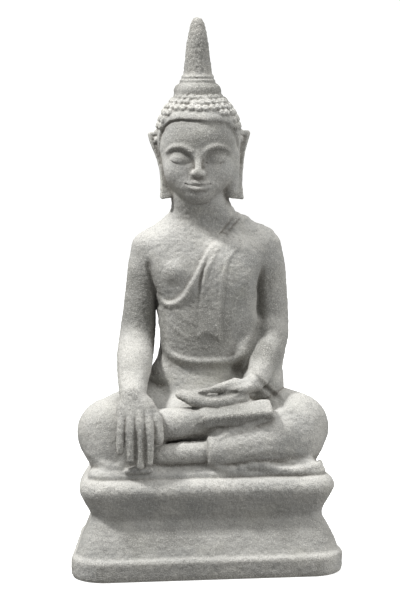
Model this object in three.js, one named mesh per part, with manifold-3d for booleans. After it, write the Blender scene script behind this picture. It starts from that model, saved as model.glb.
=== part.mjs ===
// Seated garden statue of cast stone on a two-tier waisted pedestal.
// Millimetres, +Z up, the statue faces -Y, origin at the centre of the resting face.
// The statue is an assembly of sand-cement castings that are dowelled together with
// stainless rods and bedded on thin mortar beds. Every mesh is one separate casting, rod or bed.
import * as THREE from "three";
import { mergeVertices } from "three/addons/utils/BufferGeometryUtils.js";
import Module from "manifold-3d";

// ---------------------------------------------------------------- driving dimensions
const GAP = 0.3; // clearance between touching pieces
const CORE_X = 112; // plan core of the pedestal: half length before the corner radius is added
const CORE_Y = 62;
const TAPER = 10; // how far each back corner of the pedestal is drawn in, so it narrows to the back
const R_FOOT = 36; // plan radius added at the foot band, so the foot is 296 x 196
const R_WAIST = 13.6;
const R_RIM = 26.6;
const R_SLAB = 18;
const Z_BAND = 24; // top of the foot band
const Z_WAIST = 64; // joint between the two pedestal tiers
const Z_RIM = 108.5; // joint between the pedestal and the seat slab
const Z_SEAT = 116.5; // joint between the seat slab and the crossed legs
const Z_LAP = 198; // joint between the crossed legs and the torso
const Z_NECK = 391; // joint between the torso and the head
const Z_CROWN = 512.5; // joint between the head and the crown dome
const Z_SPIRE = 537; // joint between the crown dome and the spire
const Z_TIP = 600;
const BED = 1.4; // thickness of a mortar bed
const ROD_R = 4; // main rods, 8 mm
const PIN_R = 3; // small pins, 6 mm
const X_R_SHOULDER = -52; // plane of the right shoulder joint
const X_L_SHOULDER = 66; // plane of the left shoulder joint
const AXIS = { x: 0, y: 20 }; // axis of head, crown dome and spire

const wasm = await Module();
wasm.setup();

// ---------------------------------------------------------------- solids
// A three.js geometry as a manifold-3d solid.
function solid(geometry, matrix) {
  const g = geometry.index ? geometry.toNonIndexed() : geometry.clone();
  g.deleteAttribute("normal");
  g.deleteAttribute("uv");
  if (matrix) g.applyMatrix4(matrix);
  const merged = mergeVertices(g, 1e-4);
  const at = merged.index.array;
  const tri = [];
  for (let i = 0; i < at.length; i += 3) {
    const [a, b, c] = [at[i], at[i + 1], at[i + 2]];
    if (a !== b && b !== c && c !== a) tri.push(a, b, c);
  }
  const made = new wasm.Manifold(
    new wasm.Mesh({
      numProp: 3,
      vertProperties: new Float32Array(merged.attributes.position.array),
      triVerts: new Uint32Array(tri),
    }),
  );
  return made;
}

const join = (list) => list.reduce((a, b) => a.add(b));
const cutAll = (body, list) => list.reduce((a, b) => a.subtract(b), body);

function ellipsoid(c, r, { rot = [0, 0, 0], nu = 18, nv = 12, grow = 0 } = {}) {
  const m = new THREE.Matrix4().compose(
    new THREE.Vector3(...c),
    new THREE.Quaternion().setFromEuler(
      new THREE.Euler(...rot.map((a) => THREE.MathUtils.degToRad(a))),
    ),
    new THREE.Vector3(r[0] + grow, r[1] + grow, r[2] + grow),
  );
  return solid(new THREE.SphereGeometry(1, nu, nv), m);
}

// A round cone: two balls and the cone that is tangent to both, turned on a lathe.
function limb(p0, r0, p1, r1, { n = 14, rings = 3, grow = 0 } = {}) {
  const a = new THREE.Vector3(...p0);
  const b = new THREE.Vector3(...p1);
  const ra = r0 + grow;
  const rb = r1 + grow;
  const length = a.distanceTo(b);
  const lean = Math.asin(Math.max(-0.95, Math.min(0.95, (ra - rb) / length)));
  const points = [];
  for (let i = 0; i <= rings; i++) {
    const t = -Math.PI / 2 + ((lean + Math.PI / 2) * i) / rings;
    points.push(
      new THREE.Vector2(i === 0 ? 0 : ra * Math.cos(t), ra * Math.sin(t)),
    );
  }
  for (let i = 0; i <= rings; i++) {
    const t = lean + ((Math.PI / 2 - lean) * i) / rings;
    points.push(
      new THREE.Vector2(
        i === rings ? 0 : rb * Math.cos(t),
        length + rb * Math.sin(t),
      ),
    );
  }
  const turn = new THREE.Quaternion().setFromUnitVectors(
    new THREE.Vector3(0, 1, 0),
    b.clone().sub(a).normalize(),
  );
  const m = new THREE.Matrix4().compose(a, turn, new THREE.Vector3(1, 1, 1));
  return solid(new THREE.LatheGeometry(points, n), m);
}

// A chain of round cones through [x, y, z, radius] stations.
function chain(stations, options = {}) {
  const parts = [];
  for (let i = 1; i < stations.length; i++) {
    const a = stations[i - 1];
    const b = stations[i];
    parts.push(limb(a.slice(0, 3), a[3], b.slice(0, 3), b[3], options));
  }
  return join(parts);
}

// A vertical turned solid from [radius, z] pairs that start and end on the axis.
function turned(profile, x, y, n = 28) {
  const points = profile.map(([r, z]) => new THREE.Vector2(r, z));
  const m = new THREE.Matrix4()
    .makeTranslation(x, y, 0)
    .multiply(new THREE.Matrix4().makeRotationX(Math.PI / 2));
  return solid(new THREE.LatheGeometry(points, n), m);
}

function rod(x, y, z0, z1, r, n = 16) {
  return turned(
    [
      [0, z0],
      [r, z0],
      [r, z1],
      [0, z1],
    ],
    x,
    y,
    n,
  );
}

// A rod between two points with flat ends.
function rodBetween(p0, p1, r, n = 12) {
  const a = new THREE.Vector3(...p0);
  const b = new THREE.Vector3(...p1);
  const turn = new THREE.Quaternion().setFromUnitVectors(
    new THREE.Vector3(0, 1, 0),
    b.clone().sub(a).normalize(),
  );
  const m = new THREE.Matrix4().compose(
    a.clone().add(b).multiplyScalar(0.5),
    turn,
    new THREE.Vector3(1, 1, 1),
  );
  return solid(new THREE.CylinderGeometry(r, r, a.distanceTo(b), n), m);
}

function box(lo, hi) {
  const size = hi.map((v, i) => v - lo[i]);
  const m = new THREE.Matrix4().makeTranslation(
    (lo[0] + hi[0]) / 2,
    (lo[1] + hi[1]) / 2,
    (lo[2] + hi[2]) / 2,
  );
  return solid(new THREE.BoxGeometry(...size), m);
}

// A block with rounded edges, from its centre, half sizes and edge radius.
function block(c, half, r, rot) {
  const [hx, hy, hz] = half.map((v) => v - r);
  const outline = new THREE.Shape([
    new THREE.Vector2(-hx, -hz),
    new THREE.Vector2(hx, -hz),
    new THREE.Vector2(hx, hz),
    new THREE.Vector2(-hx, hz),
  ]);
  const g = new THREE.ExtrudeGeometry(outline, {
    depth: 2 * hy,
    bevelThickness: r,
    bevelSize: r,
    bevelSegments: 2,
    curveSegments: 2,
  });
  const place = new THREE.Matrix4().compose(
    new THREE.Vector3(...c),
    new THREE.Quaternion().setFromEuler(
      new THREE.Euler(...rot.map((a) => THREE.MathUtils.degToRad(a))),
    ),
    new THREE.Vector3(1, 1, 1),
  );
  const upright = new THREE.Matrix4()
    .makeRotationX(Math.PI / 2)
    .multiply(new THREE.Matrix4().makeTranslation(0, 0, -hy));
  return solid(g, place.multiply(upright));
}

// A moulded tier: a lathe profile of [plan radius, z] whose circle is stretched to a
// rectangle with round corners, by moving each lathe vertex out to the core's corner.
function tier(profile, coreX = CORE_X, coreY = CORE_Y, perCorner = 6, cy = 0) {
  const n = 4 * (perCorner + 1);
  const points = profile.map(([r, z]) => new THREE.Vector2(r, z));
  const g = new THREE.LatheGeometry(points, n);
  const p = g.getAttribute("position");
  const rows = profile.length;
  for (let i = 0; i <= n; i++) {
    const k = i % n;
    const quadrant = Math.floor(k / (perCorner + 1));
    const angle =
      ((quadrant + (k % (perCorner + 1)) / perCorner) * Math.PI) / 2;
    const sx = [1, -1, -1, 1][quadrant];
    const sy = [1, 1, -1, -1][quadrant];
    for (let j = 0; j < rows; j++) {
      const [r, z] = profile[j];
      const at = i * rows + j;
      if (r === 0) p.setXYZ(at, 0, cy, z);
      else
        p.setXYZ(
          at,
          sx * (coreX - (sy > 0 ? TAPER : 0)) + r * Math.cos(angle),
          sy * coreY + r * Math.sin(angle) + cy,
          z,
        );
    }
  }
  const made = solid(g);
  if (made.volume() > 0) return made;
  return solid(flip(g));
}

// A loft of horizontal ellipses: a lathe whose rings are each moved to their own centre
// and stretched to their own half width and half depth.
function loft(rings, n = 28) {
  const all = [
    [rings[0][0], rings[0][1], rings[0][2], 0, 0],
    ...rings,
    [rings.at(-1)[0], rings.at(-1)[1], rings.at(-1)[2], 0, 0],
  ];
  const g = new THREE.LatheGeometry(
    all.map(([z, , , rx]) => new THREE.Vector2(rx, z)),
    n,
  );
  const p = g.getAttribute("position");
  for (let i = 0; i <= n; i++) {
    const angle = ((i % n) * 2 * Math.PI) / n;
    for (let j = 0; j < all.length; j++) {
      const [z, cx, cy, rx, ry] = all[j];
      p.setXYZ(
        i * all.length + j,
        cx + rx * Math.cos(angle),
        cy + ry * Math.sin(angle),
        z,
      );
    }
  }
  const made = solid(g);
  return made.volume() > 0 ? made : solid(flip(g));
}

function flip(g) {
  const turnedOver = g.clone();
  const at = turnedOver.index.array;
  for (let i = 0; i < at.length; i += 3)
    [at[i + 1], at[i + 2]] = [at[i + 2], at[i + 1]];
  return turnedOver;
}

// ---------------------------------------------------------------- materials
const stone = (r, g, b) =>
  new THREE.MeshStandardMaterial({
    color: new THREE.Color(r, g, b),
    roughness: 0.95,
    metalness: 0,
  });
const paleStone = stone(0.62, 0.61, 0.57);
const greyStone = stone(0.5, 0.5, 0.48);
const mortar = stone(0.42, 0.41, 0.39);
const steel = new THREE.MeshStandardMaterial({
  color: new THREE.Color(0.6, 0.61, 0.62),
  roughness: 0.35,
  metalness: 1,
});

const statue = new THREE.Group();
function add(name, body, material, group = statue) {
  const made = body.getMesh();
  const n = made.numProp;
  const v = new Float32Array(made.numVert * 3);
  for (let i = 0; i < made.numVert; i++)
    v.set(made.vertProperties.subarray(i * n, i * n + 3), i * 3);
  const g = new THREE.BufferGeometry();
  g.setAttribute("position", new THREE.BufferAttribute(v, 3));
  g.setIndex(new THREE.BufferAttribute(new Uint32Array(made.triVerts), 1));
  g.computeVertexNormals();
  const m = new THREE.Mesh(g, material);
  m.name = name;
  group.add(m);
  return m;
}

// ---------------------------------------------------------------- rods and pins
// Each rod as [name, from, to, radius]; its bore in the castings is GAP larger.
const Z_SLAB_MID = (Z_RIM + Z_SEAT) / 2;
const rods = [
  // one long rod threads the torso, the legs and the slab and ends in the pedestal
  ["spine_rod", [4, 28, 74], [4, 28, 372], ROD_R],
  // the neck dowel holds the head, beside the spine rod's top end
  ["neck_dowel", [0, 12, 362], [0, 12, 446], ROD_R],
  // one pin threads the crown dome and holds the spire on the head
  ["finial_pin", [AXIS.x, AXIS.y, 470], [AXIS.x, AXIS.y, 582], PIN_R],
  ["right_shoulder_pin", [-30, 28, 346], [-66, 28, 342], PIN_R],
  ["left_shoulder_pin", [42, 28, 346], [84, 28, 342], PIN_R],
  ["seat_dowel_right", [-70, 4, 88], [-70, 4, 150], PIN_R],
  ["seat_dowel_left", [70, 4, 88], [70, 4, 150], PIN_R],
  ["pedestal_dowel_right", [-84, 0, 34], [-84, 0, 84], ROD_R],
  ["pedestal_dowel_left", [84, 0, 34], [84, 0, 84], ROD_R],
];
const rodSolid = ([, a, b, r], grow = 0) => {
  const from = new THREE.Vector3(...a);
  const to = new THREE.Vector3(...b);
  const along = to.clone().sub(from).normalize().multiplyScalar(grow);
  return rodBetween(
    from.sub(along).toArray(),
    to.add(along).toArray(),
    r + grow,
  );
};
const bores = Object.fromEntries(rods.map((r) => [r[0], rodSolid(r, GAP)]));
const bore = (body, ...names) => cutAll(body, names.map((n) => bores[n]));

// ---------------------------------------------------------------- pedestal
const plinth = tier([
  [0, 0],
  [R_FOOT - 3, 0],
  [R_FOOT - 0.8, 1.2],
  [R_FOOT, 4],
  [R_FOOT, Z_BAND - 6],
  [R_FOOT - 1.2, Z_BAND - 1.5],
  [R_FOOT - 4, Z_BAND + 1],
  [R_FOOT - 6.5, Z_BAND + 8],
  [R_FOOT - 11, Z_BAND + 19],
  [R_FOOT - 17.6, Z_BAND + 30],
  [R_WAIST, Z_WAIST - BED / 2 - GAP],
  [0, Z_WAIST - BED / 2 - GAP],
]);
const cornice = tier([
  [0, Z_WAIST + BED / 2 + GAP],
  [R_WAIST, Z_WAIST + BED / 2 + GAP],
  [R_WAIST + 3, Z_WAIST + 9],
  [R_RIM - 4.6, Z_WAIST + 21],
  [R_RIM - 2.5, Z_WAIST + 28],
  [R_RIM - 0.6, Z_WAIST + 31],
  [R_RIM, Z_WAIST + 36],
  [R_RIM - 1.2, Z_RIM - 5.5],
  [R_RIM - 3.8, Z_RIM - 2.6],
  [R_RIM - 7, Z_RIM - BED / 2 - GAP],
  [0, Z_RIM - BED / 2 - GAP],
]);
const slab = tier([
  [0, Z_RIM + BED / 2 + GAP],
  [R_SLAB - 1.2, Z_RIM + BED / 2 + GAP],
  [R_SLAB, Z_RIM + 3.2],
  [R_SLAB - 0.4, Z_SEAT - 2.6],
  [R_SLAB - 2.4, Z_SEAT - GAP / 2],
  [0, Z_SEAT - GAP / 2],
]);
const bed = (z, r) =>
  tier([
    [0, z - BED / 2],
    [r, z - BED / 2],
    [r, z + BED / 2],
    [0, z + BED / 2],
  ]);

// ---------------------------------------------------------------- crossed legs
const SMALL = { n: 12, rings: 3 };
const FINGER = { n: 8, rings: 2 };
const legsRaw = join([
  ellipsoid([0, 26, 159], [88, 54, 46]),
  ellipsoid([-2, -14, 156], [74, 48, 35]),
  chain([
    [-46, 26, 163, 36.5],
    [-101, -26, 151.5, 38],
  ]),
  chain([
    [46, 26, 163, 36.5],
    [101, -26, 151.5, 38],
  ]),
  // right shin, running to the centre over the left one
  chain([
    [-98, -34, 150, 33],
    [-66, -52, 158, 21],
    [-34, -57, 163.5, 16.6],
    [2, -56, 166, 14.5],
  ]),
  // left shin with the robe's cuff
  chain([
    [98, -34, 149, 34],
    [62, -54, 142, 26.5],
    [22, -64, 136, 20],
  ]),
  // left foot, under the right shin
  chain(
    [
      [20, -64, 134, 14],
      [-42, -69, 132.5, 11.6],
      [-58, -68, 131, 9.6],
    ],
    SMALL,
  ),
  // the folds of the robe under the legs, level with the seat slab
  tier(
    [
      [0, 112],
      [12, 112],
      [13.5, 118],
      [12, 126],
      [5, 131],
      [0, 131],
    ],
    109,
    63,
  ),
  // right foot, a flat slab of a sole laid up on the left shin
  block([31, -66, 175], [38, 11.5, 6.8], 3.2, [30, -4.2, 0]),
  limb([-6, -62, 168], 12, [20, -64, 171], 10.5, SMALL),
]);

// ---------------------------------------------------------------- arms
const rightArmRaw = (grow = 0) =>
  join([
    chain(
      [
        [-58, 28, 348, 22],
        [-63, 27, 302, 19.5],
        [-69, 20, 262, 19.3],
        [-75, -26, 220, 18],
        [-79, -62, 192, 15.5],
      ],
      { grow },
    ),
    ellipsoid([-78, -78, 177], [22, 13.5, 22], { nu: 14, nv: 9, grow }),
    limb([-94.5, -86, 164], 5.6, [-95.5, -91, 140], 4.6, { ...FINGER, grow }),
    limb([-85, -88, 164], 5.6, [-85.5, -92, 131.5], 4.6, { ...FINGER, grow }),
    limb([-75, -88, 164], 5.6, [-75, -92, 124.6], 4.6, { ...FINGER, grow }),
    limb([-65.5, -86, 164], 5.6, [-66, -91.5, 127.6], 4.6, { ...FINGER, grow }),
    limb([-62, -76, 180], 8, [-54.5, -84, 152], 5.6, { ...FINGER, grow }),
  ]);
const leftArmRaw = (grow = 0) =>
  join([
    chain(
      [
        [76, 28, 348, 23],
        [79, 27, 302, 20.5],
        [80, 18, 262, 19.8],
        [69, -20, 225, 17.5],
        [56, -44, 203, 13.5],
      ],
      { grow },
    ),
    // sleeve falling to the thigh
    chain(
      [
        [82, 8, 250, 18.6],
        [75, 2, 232, 18.8],
        [68, -6, 203, 20],
      ],
      { grow },
    ),
    // hand, palm up in the lap
    ellipsoid([36, -50, 199], [25, 17, 10.5], { nu: 14, nv: 8, grow }),
    limb([30, -62, 200], 6.5, [-18, -66, 196], 5, { ...FINGER, grow }),
    limb([50, -46, 206], 10.5, [22, -51, 204], 7.8, { ...FINGER, grow }),
    limb([22, -51, 204], 7.8, [-6, -56, 198], 5, { ...FINGER, grow }),
  ]);

// ---------------------------------------------------------------- torso
// One loft of upright ellipses, from [z, centre x, centre y, half width, half depth],
// and the robe that closes the space between the left side and the left arm.
const torsoRaw = loft([
  [188, 1, 20, 50, 38],
  [204, 1, 20, 47, 37],
  [222, 1, 22, 44, 35],
  [242, 2, 24, 43.5, 34],
  [262, 3, 26, 45.5, 35],
  [284, 4, 27, 50, 38.5],
  [304, 6, 27, 56, 41],
  [322, 7, 28, 62, 41],
  [338, 7, 28, 67, 37],
  [351, 7, 28, 66, 31],
  [362, 6, 28, 56, 27.5],
  [371, 4, 27, 43, 26.5],
  [380, 3, 25, 35, 27],
  [391, 2, 24, 31.5, 28],
  [404, 1, 22, 30.5, 29],
]).add(
  chain([
    [55, 22, 332, 15],
    [51, 15, 286, 15],
    [50, 12, 248, 15],
    [45, 9, 222, 15],
  ]),
).add(
  chain([
    [62, 31, 330, 13],
    [62, 28, 252, 14],
    [55, 20, 222, 15],
  ]),
);

// ---------------------------------------------------------------- head
const headRaw = join([
  ellipsoid([0, 20, 466], [45, 48, 47]),
  ellipsoid([0, 8, 446], [39, 36, 46]),
  ellipsoid([0, -9, 416], [20, 17, 15], { nu: 14, nv: 8 }),
  limb([1, 22, 380], 31, [1, 22, 420], 30),
  // nose
  limb([0, -26, 458], 3, [0, -33, 438], 6, FINGER),
  // hair rim over the brow
  ellipsoid([0, 24, 476], [47.5, 50, 42]),
]);
const ear = (s) => {
  const outline = new THREE.Shape([
    new THREE.Vector2(s * 30, 474),
    new THREE.Vector2(s * 54, 476),
    new THREE.Vector2(s * 55.5, 472),
    new THREE.Vector2(s * 50, 456),
    new THREE.Vector2(s * 46, 440),
    new THREE.Vector2(s * 43.5, 424),
    new THREE.Vector2(s * 43.5, 406),
    new THREE.Vector2(s * 33, 405),
    new THREE.Vector2(s * 28, 424),
  ]);
  const g = new THREE.ExtrudeGeometry(outline, {
    depth: 11,
    bevelEnabled: false,
  });
  const m = new THREE.Matrix4()
    .makeTranslation(0, 31, 0)
    .multiply(new THREE.Matrix4().makeRotationX(Math.PI / 2));
  return solid(g, m);
};
const crown = turned(
  [
    [0, Z_CROWN + GAP / 2],
    [27.5, Z_CROWN + GAP / 2],
    [28.5, 516],
    [27, 521],
    [23.5, 526],
    [19.5, 529],
    [20.5, 531.5],
    [19, 534.5],
    [16.5, Z_SPIRE - GAP / 2],
    [0, Z_SPIRE - GAP / 2],
  ],
  AXIS.x,
  AXIS.y,
);
const spire = turned(
  [
    [0, Z_SPIRE + GAP / 2],
    [15.6, Z_SPIRE + GAP / 2],
    [14.6, 548],
    [13.2, 561],
    [11.7, 573],
    [9.8, 584.5],
    [7.6, 593],
    [5, 598],
    [0, Z_TIP],
  ],
  AXIS.x,
  AXIS.y,
  20,
);

// ---------------------------------------------------------------- cuts between castings
const FAR = 400;
const above = (z) => box([-FAR, -FAR, z], [FAR, FAR, z + 2 * FAR]);
const below = (z) => box([-FAR, -FAR, z - 2 * FAR], [FAR, FAR, z]);
const rightOf = (x) => box([x, -FAR, -FAR], [x + 2 * FAR, FAR, 2 * FAR]);
const leftOf = (x) => box([x - 2 * FAR, -FAR, -FAR], [x, FAR, 2 * FAR]);

const slabTop = below(Z_SEAT + GAP / 2);
const lapTop = above(Z_LAP - GAP / 2);

const rightArm = bore(
  rightArmRaw()
    .subtract(rightOf(X_R_SHOULDER - GAP / 2).intersect(above(300)))
    .subtract(slabTop),
  "right_shoulder_pin",
);
const leftArm = bore(
  leftArmRaw()
    .subtract(leftOf(X_L_SHOULDER + GAP / 2).intersect(above(300)))
    .subtract(slabTop),
  "left_shoulder_pin",
);
const rightArmCut = rightArmRaw(GAP);
const leftArmCut = leftArmRaw(GAP);

// one solid: keeps the largest body where a cut leaves crumbs
function largest(body) {
  const bodies = body.decompose();
  return bodies.reduce((a, b) => (a.volume() >= b.volume() ? a : b));
}

const torso = bore(
  largest(
    torsoRaw
      .subtract(below(Z_LAP + GAP / 2))
      .subtract(above(Z_NECK - GAP / 2))
      .subtract(leftOf(X_R_SHOULDER + GAP / 2))
      .subtract(rightOf(X_L_SHOULDER - GAP / 2))
      .subtract(rightArmCut.subtract(rightOf(X_R_SHOULDER).intersect(above(300))))
      .subtract(leftArmCut.subtract(leftOf(X_L_SHOULDER).intersect(above(300)))),
  ),
  "spine_rod",
  "neck_dowel",
  "right_shoulder_pin",
  "left_shoulder_pin",
);
const legs = bore(
  largest(
    legsRaw
      .subtract(slabTop)
      .subtract(lapTop)
      .subtract(rightArmCut)
      .subtract(leftArmCut),
  ),
  "spine_rod",
  "seat_dowel_right",
  "seat_dowel_left",
);
const head = bore(
  largest(
    join([headRaw, ear(-1), ear(1)])
      .subtract(below(Z_NECK + GAP / 2))
      .subtract(above(Z_CROWN - GAP / 2)),
  ),
  "neck_dowel",
  "finial_pin",
);

// ---------------------------------------------------------------- assembly
add(
  "pedestal_plinth",
  bore(plinth, "pedestal_dowel_right", "pedestal_dowel_left"),
  paleStone,
);
add(
  "pedestal_cornice",
  bore(
    cornice,
    "pedestal_dowel_right",
    "pedestal_dowel_left",
    "seat_dowel_right",
    "seat_dowel_left",
    "spine_rod",
  ),
  paleStone,
);
add(
  "seat_slab",
  bore(slab, "seat_dowel_right", "seat_dowel_left", "spine_rod"),
  paleStone,
);
add(
  "waist_mortar_bed",
  bore(
    bed(Z_WAIST, R_WAIST - 2.5),
    "pedestal_dowel_right",
    "pedestal_dowel_left",
  ),
  mortar,
);
add(
  "seat_mortar_bed",
  bore(
    bed(Z_RIM, R_SLAB - 4),
    "seat_dowel_right",
    "seat_dowel_left",
    "spine_rod",
  ),
  mortar,
);
add("crossed_legs", legs, paleStone);
add("torso", torso, paleStone);
add("right_arm", rightArm, paleStone);
add("left_arm", leftArm, paleStone);
add("head", head, greyStone);
add("crown_dome", bore(crown, "finial_pin"), greyStone);
add("spire", bore(spire, "finial_pin"), greyStone);
for (const r of rods) add(r[0], rodSolid(r), steel);

export default statue;
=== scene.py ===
# Looks of the seated cast-stone figure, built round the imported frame.
# The whole figure is one signed distance field in millimetres; each casting is the part of it
# that a joint plane or an arm's own surface cuts off, meshed so that neighbours share their rim.
import math
import time

import bpy
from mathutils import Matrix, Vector
import numpy as np


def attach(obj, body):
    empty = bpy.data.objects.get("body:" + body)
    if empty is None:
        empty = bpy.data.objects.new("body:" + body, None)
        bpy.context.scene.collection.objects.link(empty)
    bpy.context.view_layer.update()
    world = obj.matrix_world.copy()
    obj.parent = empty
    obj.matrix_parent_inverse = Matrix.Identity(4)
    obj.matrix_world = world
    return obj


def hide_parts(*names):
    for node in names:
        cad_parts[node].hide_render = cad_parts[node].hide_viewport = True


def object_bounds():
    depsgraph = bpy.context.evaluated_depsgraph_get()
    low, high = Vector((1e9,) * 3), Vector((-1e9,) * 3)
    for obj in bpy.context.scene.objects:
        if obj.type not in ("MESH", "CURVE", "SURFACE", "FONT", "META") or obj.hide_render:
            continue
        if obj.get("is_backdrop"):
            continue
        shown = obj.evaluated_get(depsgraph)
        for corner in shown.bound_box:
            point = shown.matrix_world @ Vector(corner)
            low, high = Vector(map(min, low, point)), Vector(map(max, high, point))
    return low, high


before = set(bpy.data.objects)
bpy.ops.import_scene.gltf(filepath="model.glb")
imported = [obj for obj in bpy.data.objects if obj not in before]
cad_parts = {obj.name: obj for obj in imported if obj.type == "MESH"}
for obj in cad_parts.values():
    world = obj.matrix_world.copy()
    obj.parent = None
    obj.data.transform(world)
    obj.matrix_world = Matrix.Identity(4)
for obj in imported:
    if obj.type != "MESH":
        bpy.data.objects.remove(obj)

CAD_BOX = [list(map(float, corner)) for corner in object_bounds()]
T0 = time.time()


def say(*words):
    print("[scene %5.1f s]" % (time.time() - T0), *words)


# ------------------------------------------------------------------ joints between castings, mm
Z_WAIST, Z_RIM, Z_SEAT, Z_LAP = 64.0, 108.5, 116.5, 198.0
Z_NECK, Z_CROWN, Z_SPIRE = 391.0, 512.5, 537.0
X_R_SHOULDER, X_L_SHOULDER = -52.0, 66.0
BED, TAPER = 1.4, 10.0
F32 = np.float32

# ------------------------------------------------------------------ grid
def axis(stops):
    """Grid lines through [start, step, start, step, ..., end]."""
    out = []
    for a, h, b in zip(stops[0:-2:2], stops[1:-1:2], stops[2::2]):
        n = max(1, int(round((b - a) / (h * 1.0))))
        out.append(np.linspace(a, b, n, endpoint=False))
    return np.concatenate(out + [[stops[-1]]]).astype(F32)


GX = axis([-153.7, 1.6, -98, 1.3, -60, 1.1, 60, 1.3, 106, 1.6, 153.7])
GY = axis([-103.3, 1.3, -30, 1.25, 60, 1.4, 103.3])
GZ = axis([-2.1, 1.55, 112, 1.4, 198, 1.15, 390, 0.95, 516, 1.0, 541, 1.2, 604.9])
SHAPE = (len(GX), len(GY), len(GZ))
FAR = F32(30.0)
say("grid", SHAPE, "%.1f M" % (SHAPE[0] * SHAPE[1] * SHAPE[2] / 1e6))


def window(lo, hi):
    s = []
    for g, a, b in zip((GX, GY, GZ), lo, hi):
        i = max(0, int(np.searchsorted(g, a)) - 1)
        j = min(len(g), int(np.searchsorted(g, b)) + 1)
        s.append(slice(i, max(i + 1, j)))
    return tuple(s)


def coords(s):
    return GX[s[0]][:, None, None], GY[s[1]][None, :, None], GZ[s[2]][None, None, :]


def new_field():
    return np.full(SHAPE, FAR, F32)


# ------------------------------------------------------------------ distance functions
def smin(a, b, k):
    if k is None:
        return np.minimum(a, b)
    h = np.maximum(k - np.abs(a - b), 0)
    return np.minimum(a, b) - h * h / (4 * k)


def smax(a, b, k):
    return -smin(-a, -b, k)


def d_ellipsoid(P, c, r, rot=None):
    X, Y, Z = P
    x, y, z = X - F32(c[0]), Y - F32(c[1]), Z - F32(c[2])
    if rot is not None:
        R = rotation(rot).T
        x, y, z = (R[0, 0] * x + R[0, 1] * y + R[0, 2] * z,
                   R[1, 0] * x + R[1, 1] * y + R[1, 2] * z,
                   R[2, 0] * x + R[2, 1] * y + R[2, 2] * z)
    a, b, q = F32(r[0]), F32(r[1]), F32(r[2])
    k0 = np.sqrt((x / a) ** 2 + (y / b) ** 2 + (z / q) ** 2)
    k1 = np.sqrt((x / (a * a)) ** 2 + (y / (b * b)) ** 2 + (z / (q * q)) ** 2)
    return (k0 * (k0 - 1) / np.maximum(k1, 1e-6)).astype(F32)


def rotation(deg):
    ax, ay, az = (math.radians(v) for v in deg)
    Rx = np.array([[1, 0, 0], [0, math.cos(ax), -math.sin(ax)], [0, math.sin(ax), math.cos(ax)]])
    Ry = np.array([[math.cos(ay), 0, math.sin(ay)], [0, 1, 0], [-math.sin(ay), 0, math.cos(ay)]])
    Rz = np.array([[math.cos(az), -math.sin(az), 0], [math.sin(az), math.cos(az), 0], [0, 0, 1]])
    return (Rz @ Ry @ Rx).astype(F32)


def d_box(P, c, half, r, rot=None):
    X, Y, Z = P
    x, y, z = X - F32(c[0]), Y - F32(c[1]), Z - F32(c[2])
    if rot is not None:
        R = rotation(rot).T
        x, y, z = (R[0, 0] * x + R[0, 1] * y + R[0, 2] * z,
                   R[1, 0] * x + R[1, 1] * y + R[1, 2] * z,
                   R[2, 0] * x + R[2, 1] * y + R[2, 2] * z)
    qx, qy, qz = (np.abs(x) - F32(half[0] - r), np.abs(y) - F32(half[1] - r), np.abs(z) - F32(half[2] - r))
    outer = np.sqrt(np.maximum(qx, 0) ** 2 + np.maximum(qy, 0) ** 2 + np.maximum(qz, 0) ** 2)
    return outer + np.minimum(np.maximum(qx, np.maximum(qy, qz)), 0) - F32(r)


def d_cone(P, a, ra, b, rb):
    """Round cone: two balls and the surface tangent to both."""
    X, Y, Z = P
    a = np.array(a, float)
    b = np.array(b, float)
    ba = b - a
    l2 = float(ba @ ba)
    if l2 < 1e-6:
        return np.sqrt((X - F32(a[0])) ** 2 + (Y - F32(a[1])) ** 2 + (Z - F32(a[2])) ** 2) - F32(max(ra, rb))
    rr = ra - rb
    a2 = l2 - rr * rr
    if a2 <= 0:  # one ball holds the other
        c, r = (a, ra) if ra > rb else (b, rb)
        return np.sqrt((X - F32(c[0])) ** 2 + (Y - F32(c[1])) ** 2 + (Z - F32(c[2])) ** 2) - F32(r)
    il2 = 1.0 / l2
    px, py, pz = X - F32(a[0]), Y - F32(a[1]), Z - F32(a[2])
    y = px * F32(ba[0]) + py * F32(ba[1]) + pz * F32(ba[2])
    z = y - F32(l2)
    pp = px * px + py * py + pz * pz
    x2 = np.maximum(pp * F32(l2) - y * y, 0) * F32(l2)  # |p*l2 - ba*y|^2 = l2 * (pp*l2 - y^2)
    y2 = y * y * F32(l2)
    z2 = z * z * F32(l2)
    k = np.sign(rr) * rr * rr * x2
    d = (np.sqrt(x2 * F32(a2 * il2)) + y * F32(rr)) * F32(il2) - F32(ra)
    d = np.where(np.sign(z) * a2 * z2 > k, np.sqrt(x2 + z2) * F32(il2) - F32(rb), d)
    d = np.where(np.sign(y) * a2 * y2 < k, np.sqrt(x2 + y2) * F32(il2) - F32(ra), d)
    return d.astype(F32)


def curve(points, steps=6):
    """Catmull-Rom through rows of numbers."""
    p = np.array(points, float)
    if len(p) < 3:
        return p
    q = np.vstack([2 * p[0] - p[1], p, 2 * p[-1] - p[-2]])
    out = []
    for i in range(1, len(q) - 2):
        for t in np.linspace(0, 1, steps, endpoint=False):
            out.append(0.5 * ((2 * q[i]) + (-q[i - 1] + q[i + 1]) * t
                              + (2 * q[i - 1] - 5 * q[i] + 4 * q[i + 1] - q[i + 2]) * t * t
                              + (-q[i - 1] + 3 * q[i] - 3 * q[i + 1] + q[i + 2]) * t ** 3))
    out.append(p[-1])
    return np.array(out)


# ------------------------------------------------------------------ adding to a field
def put(field, fn, lo, hi, k=None, cut=False):
    pad = 9 + (k or 0)
    s = window([v - pad for v in lo], [v + pad for v in hi])
    d = fn(coords(s))
    field[s] = smax(field[s], -d, k) if cut else smin(field[s], d, k)


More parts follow.
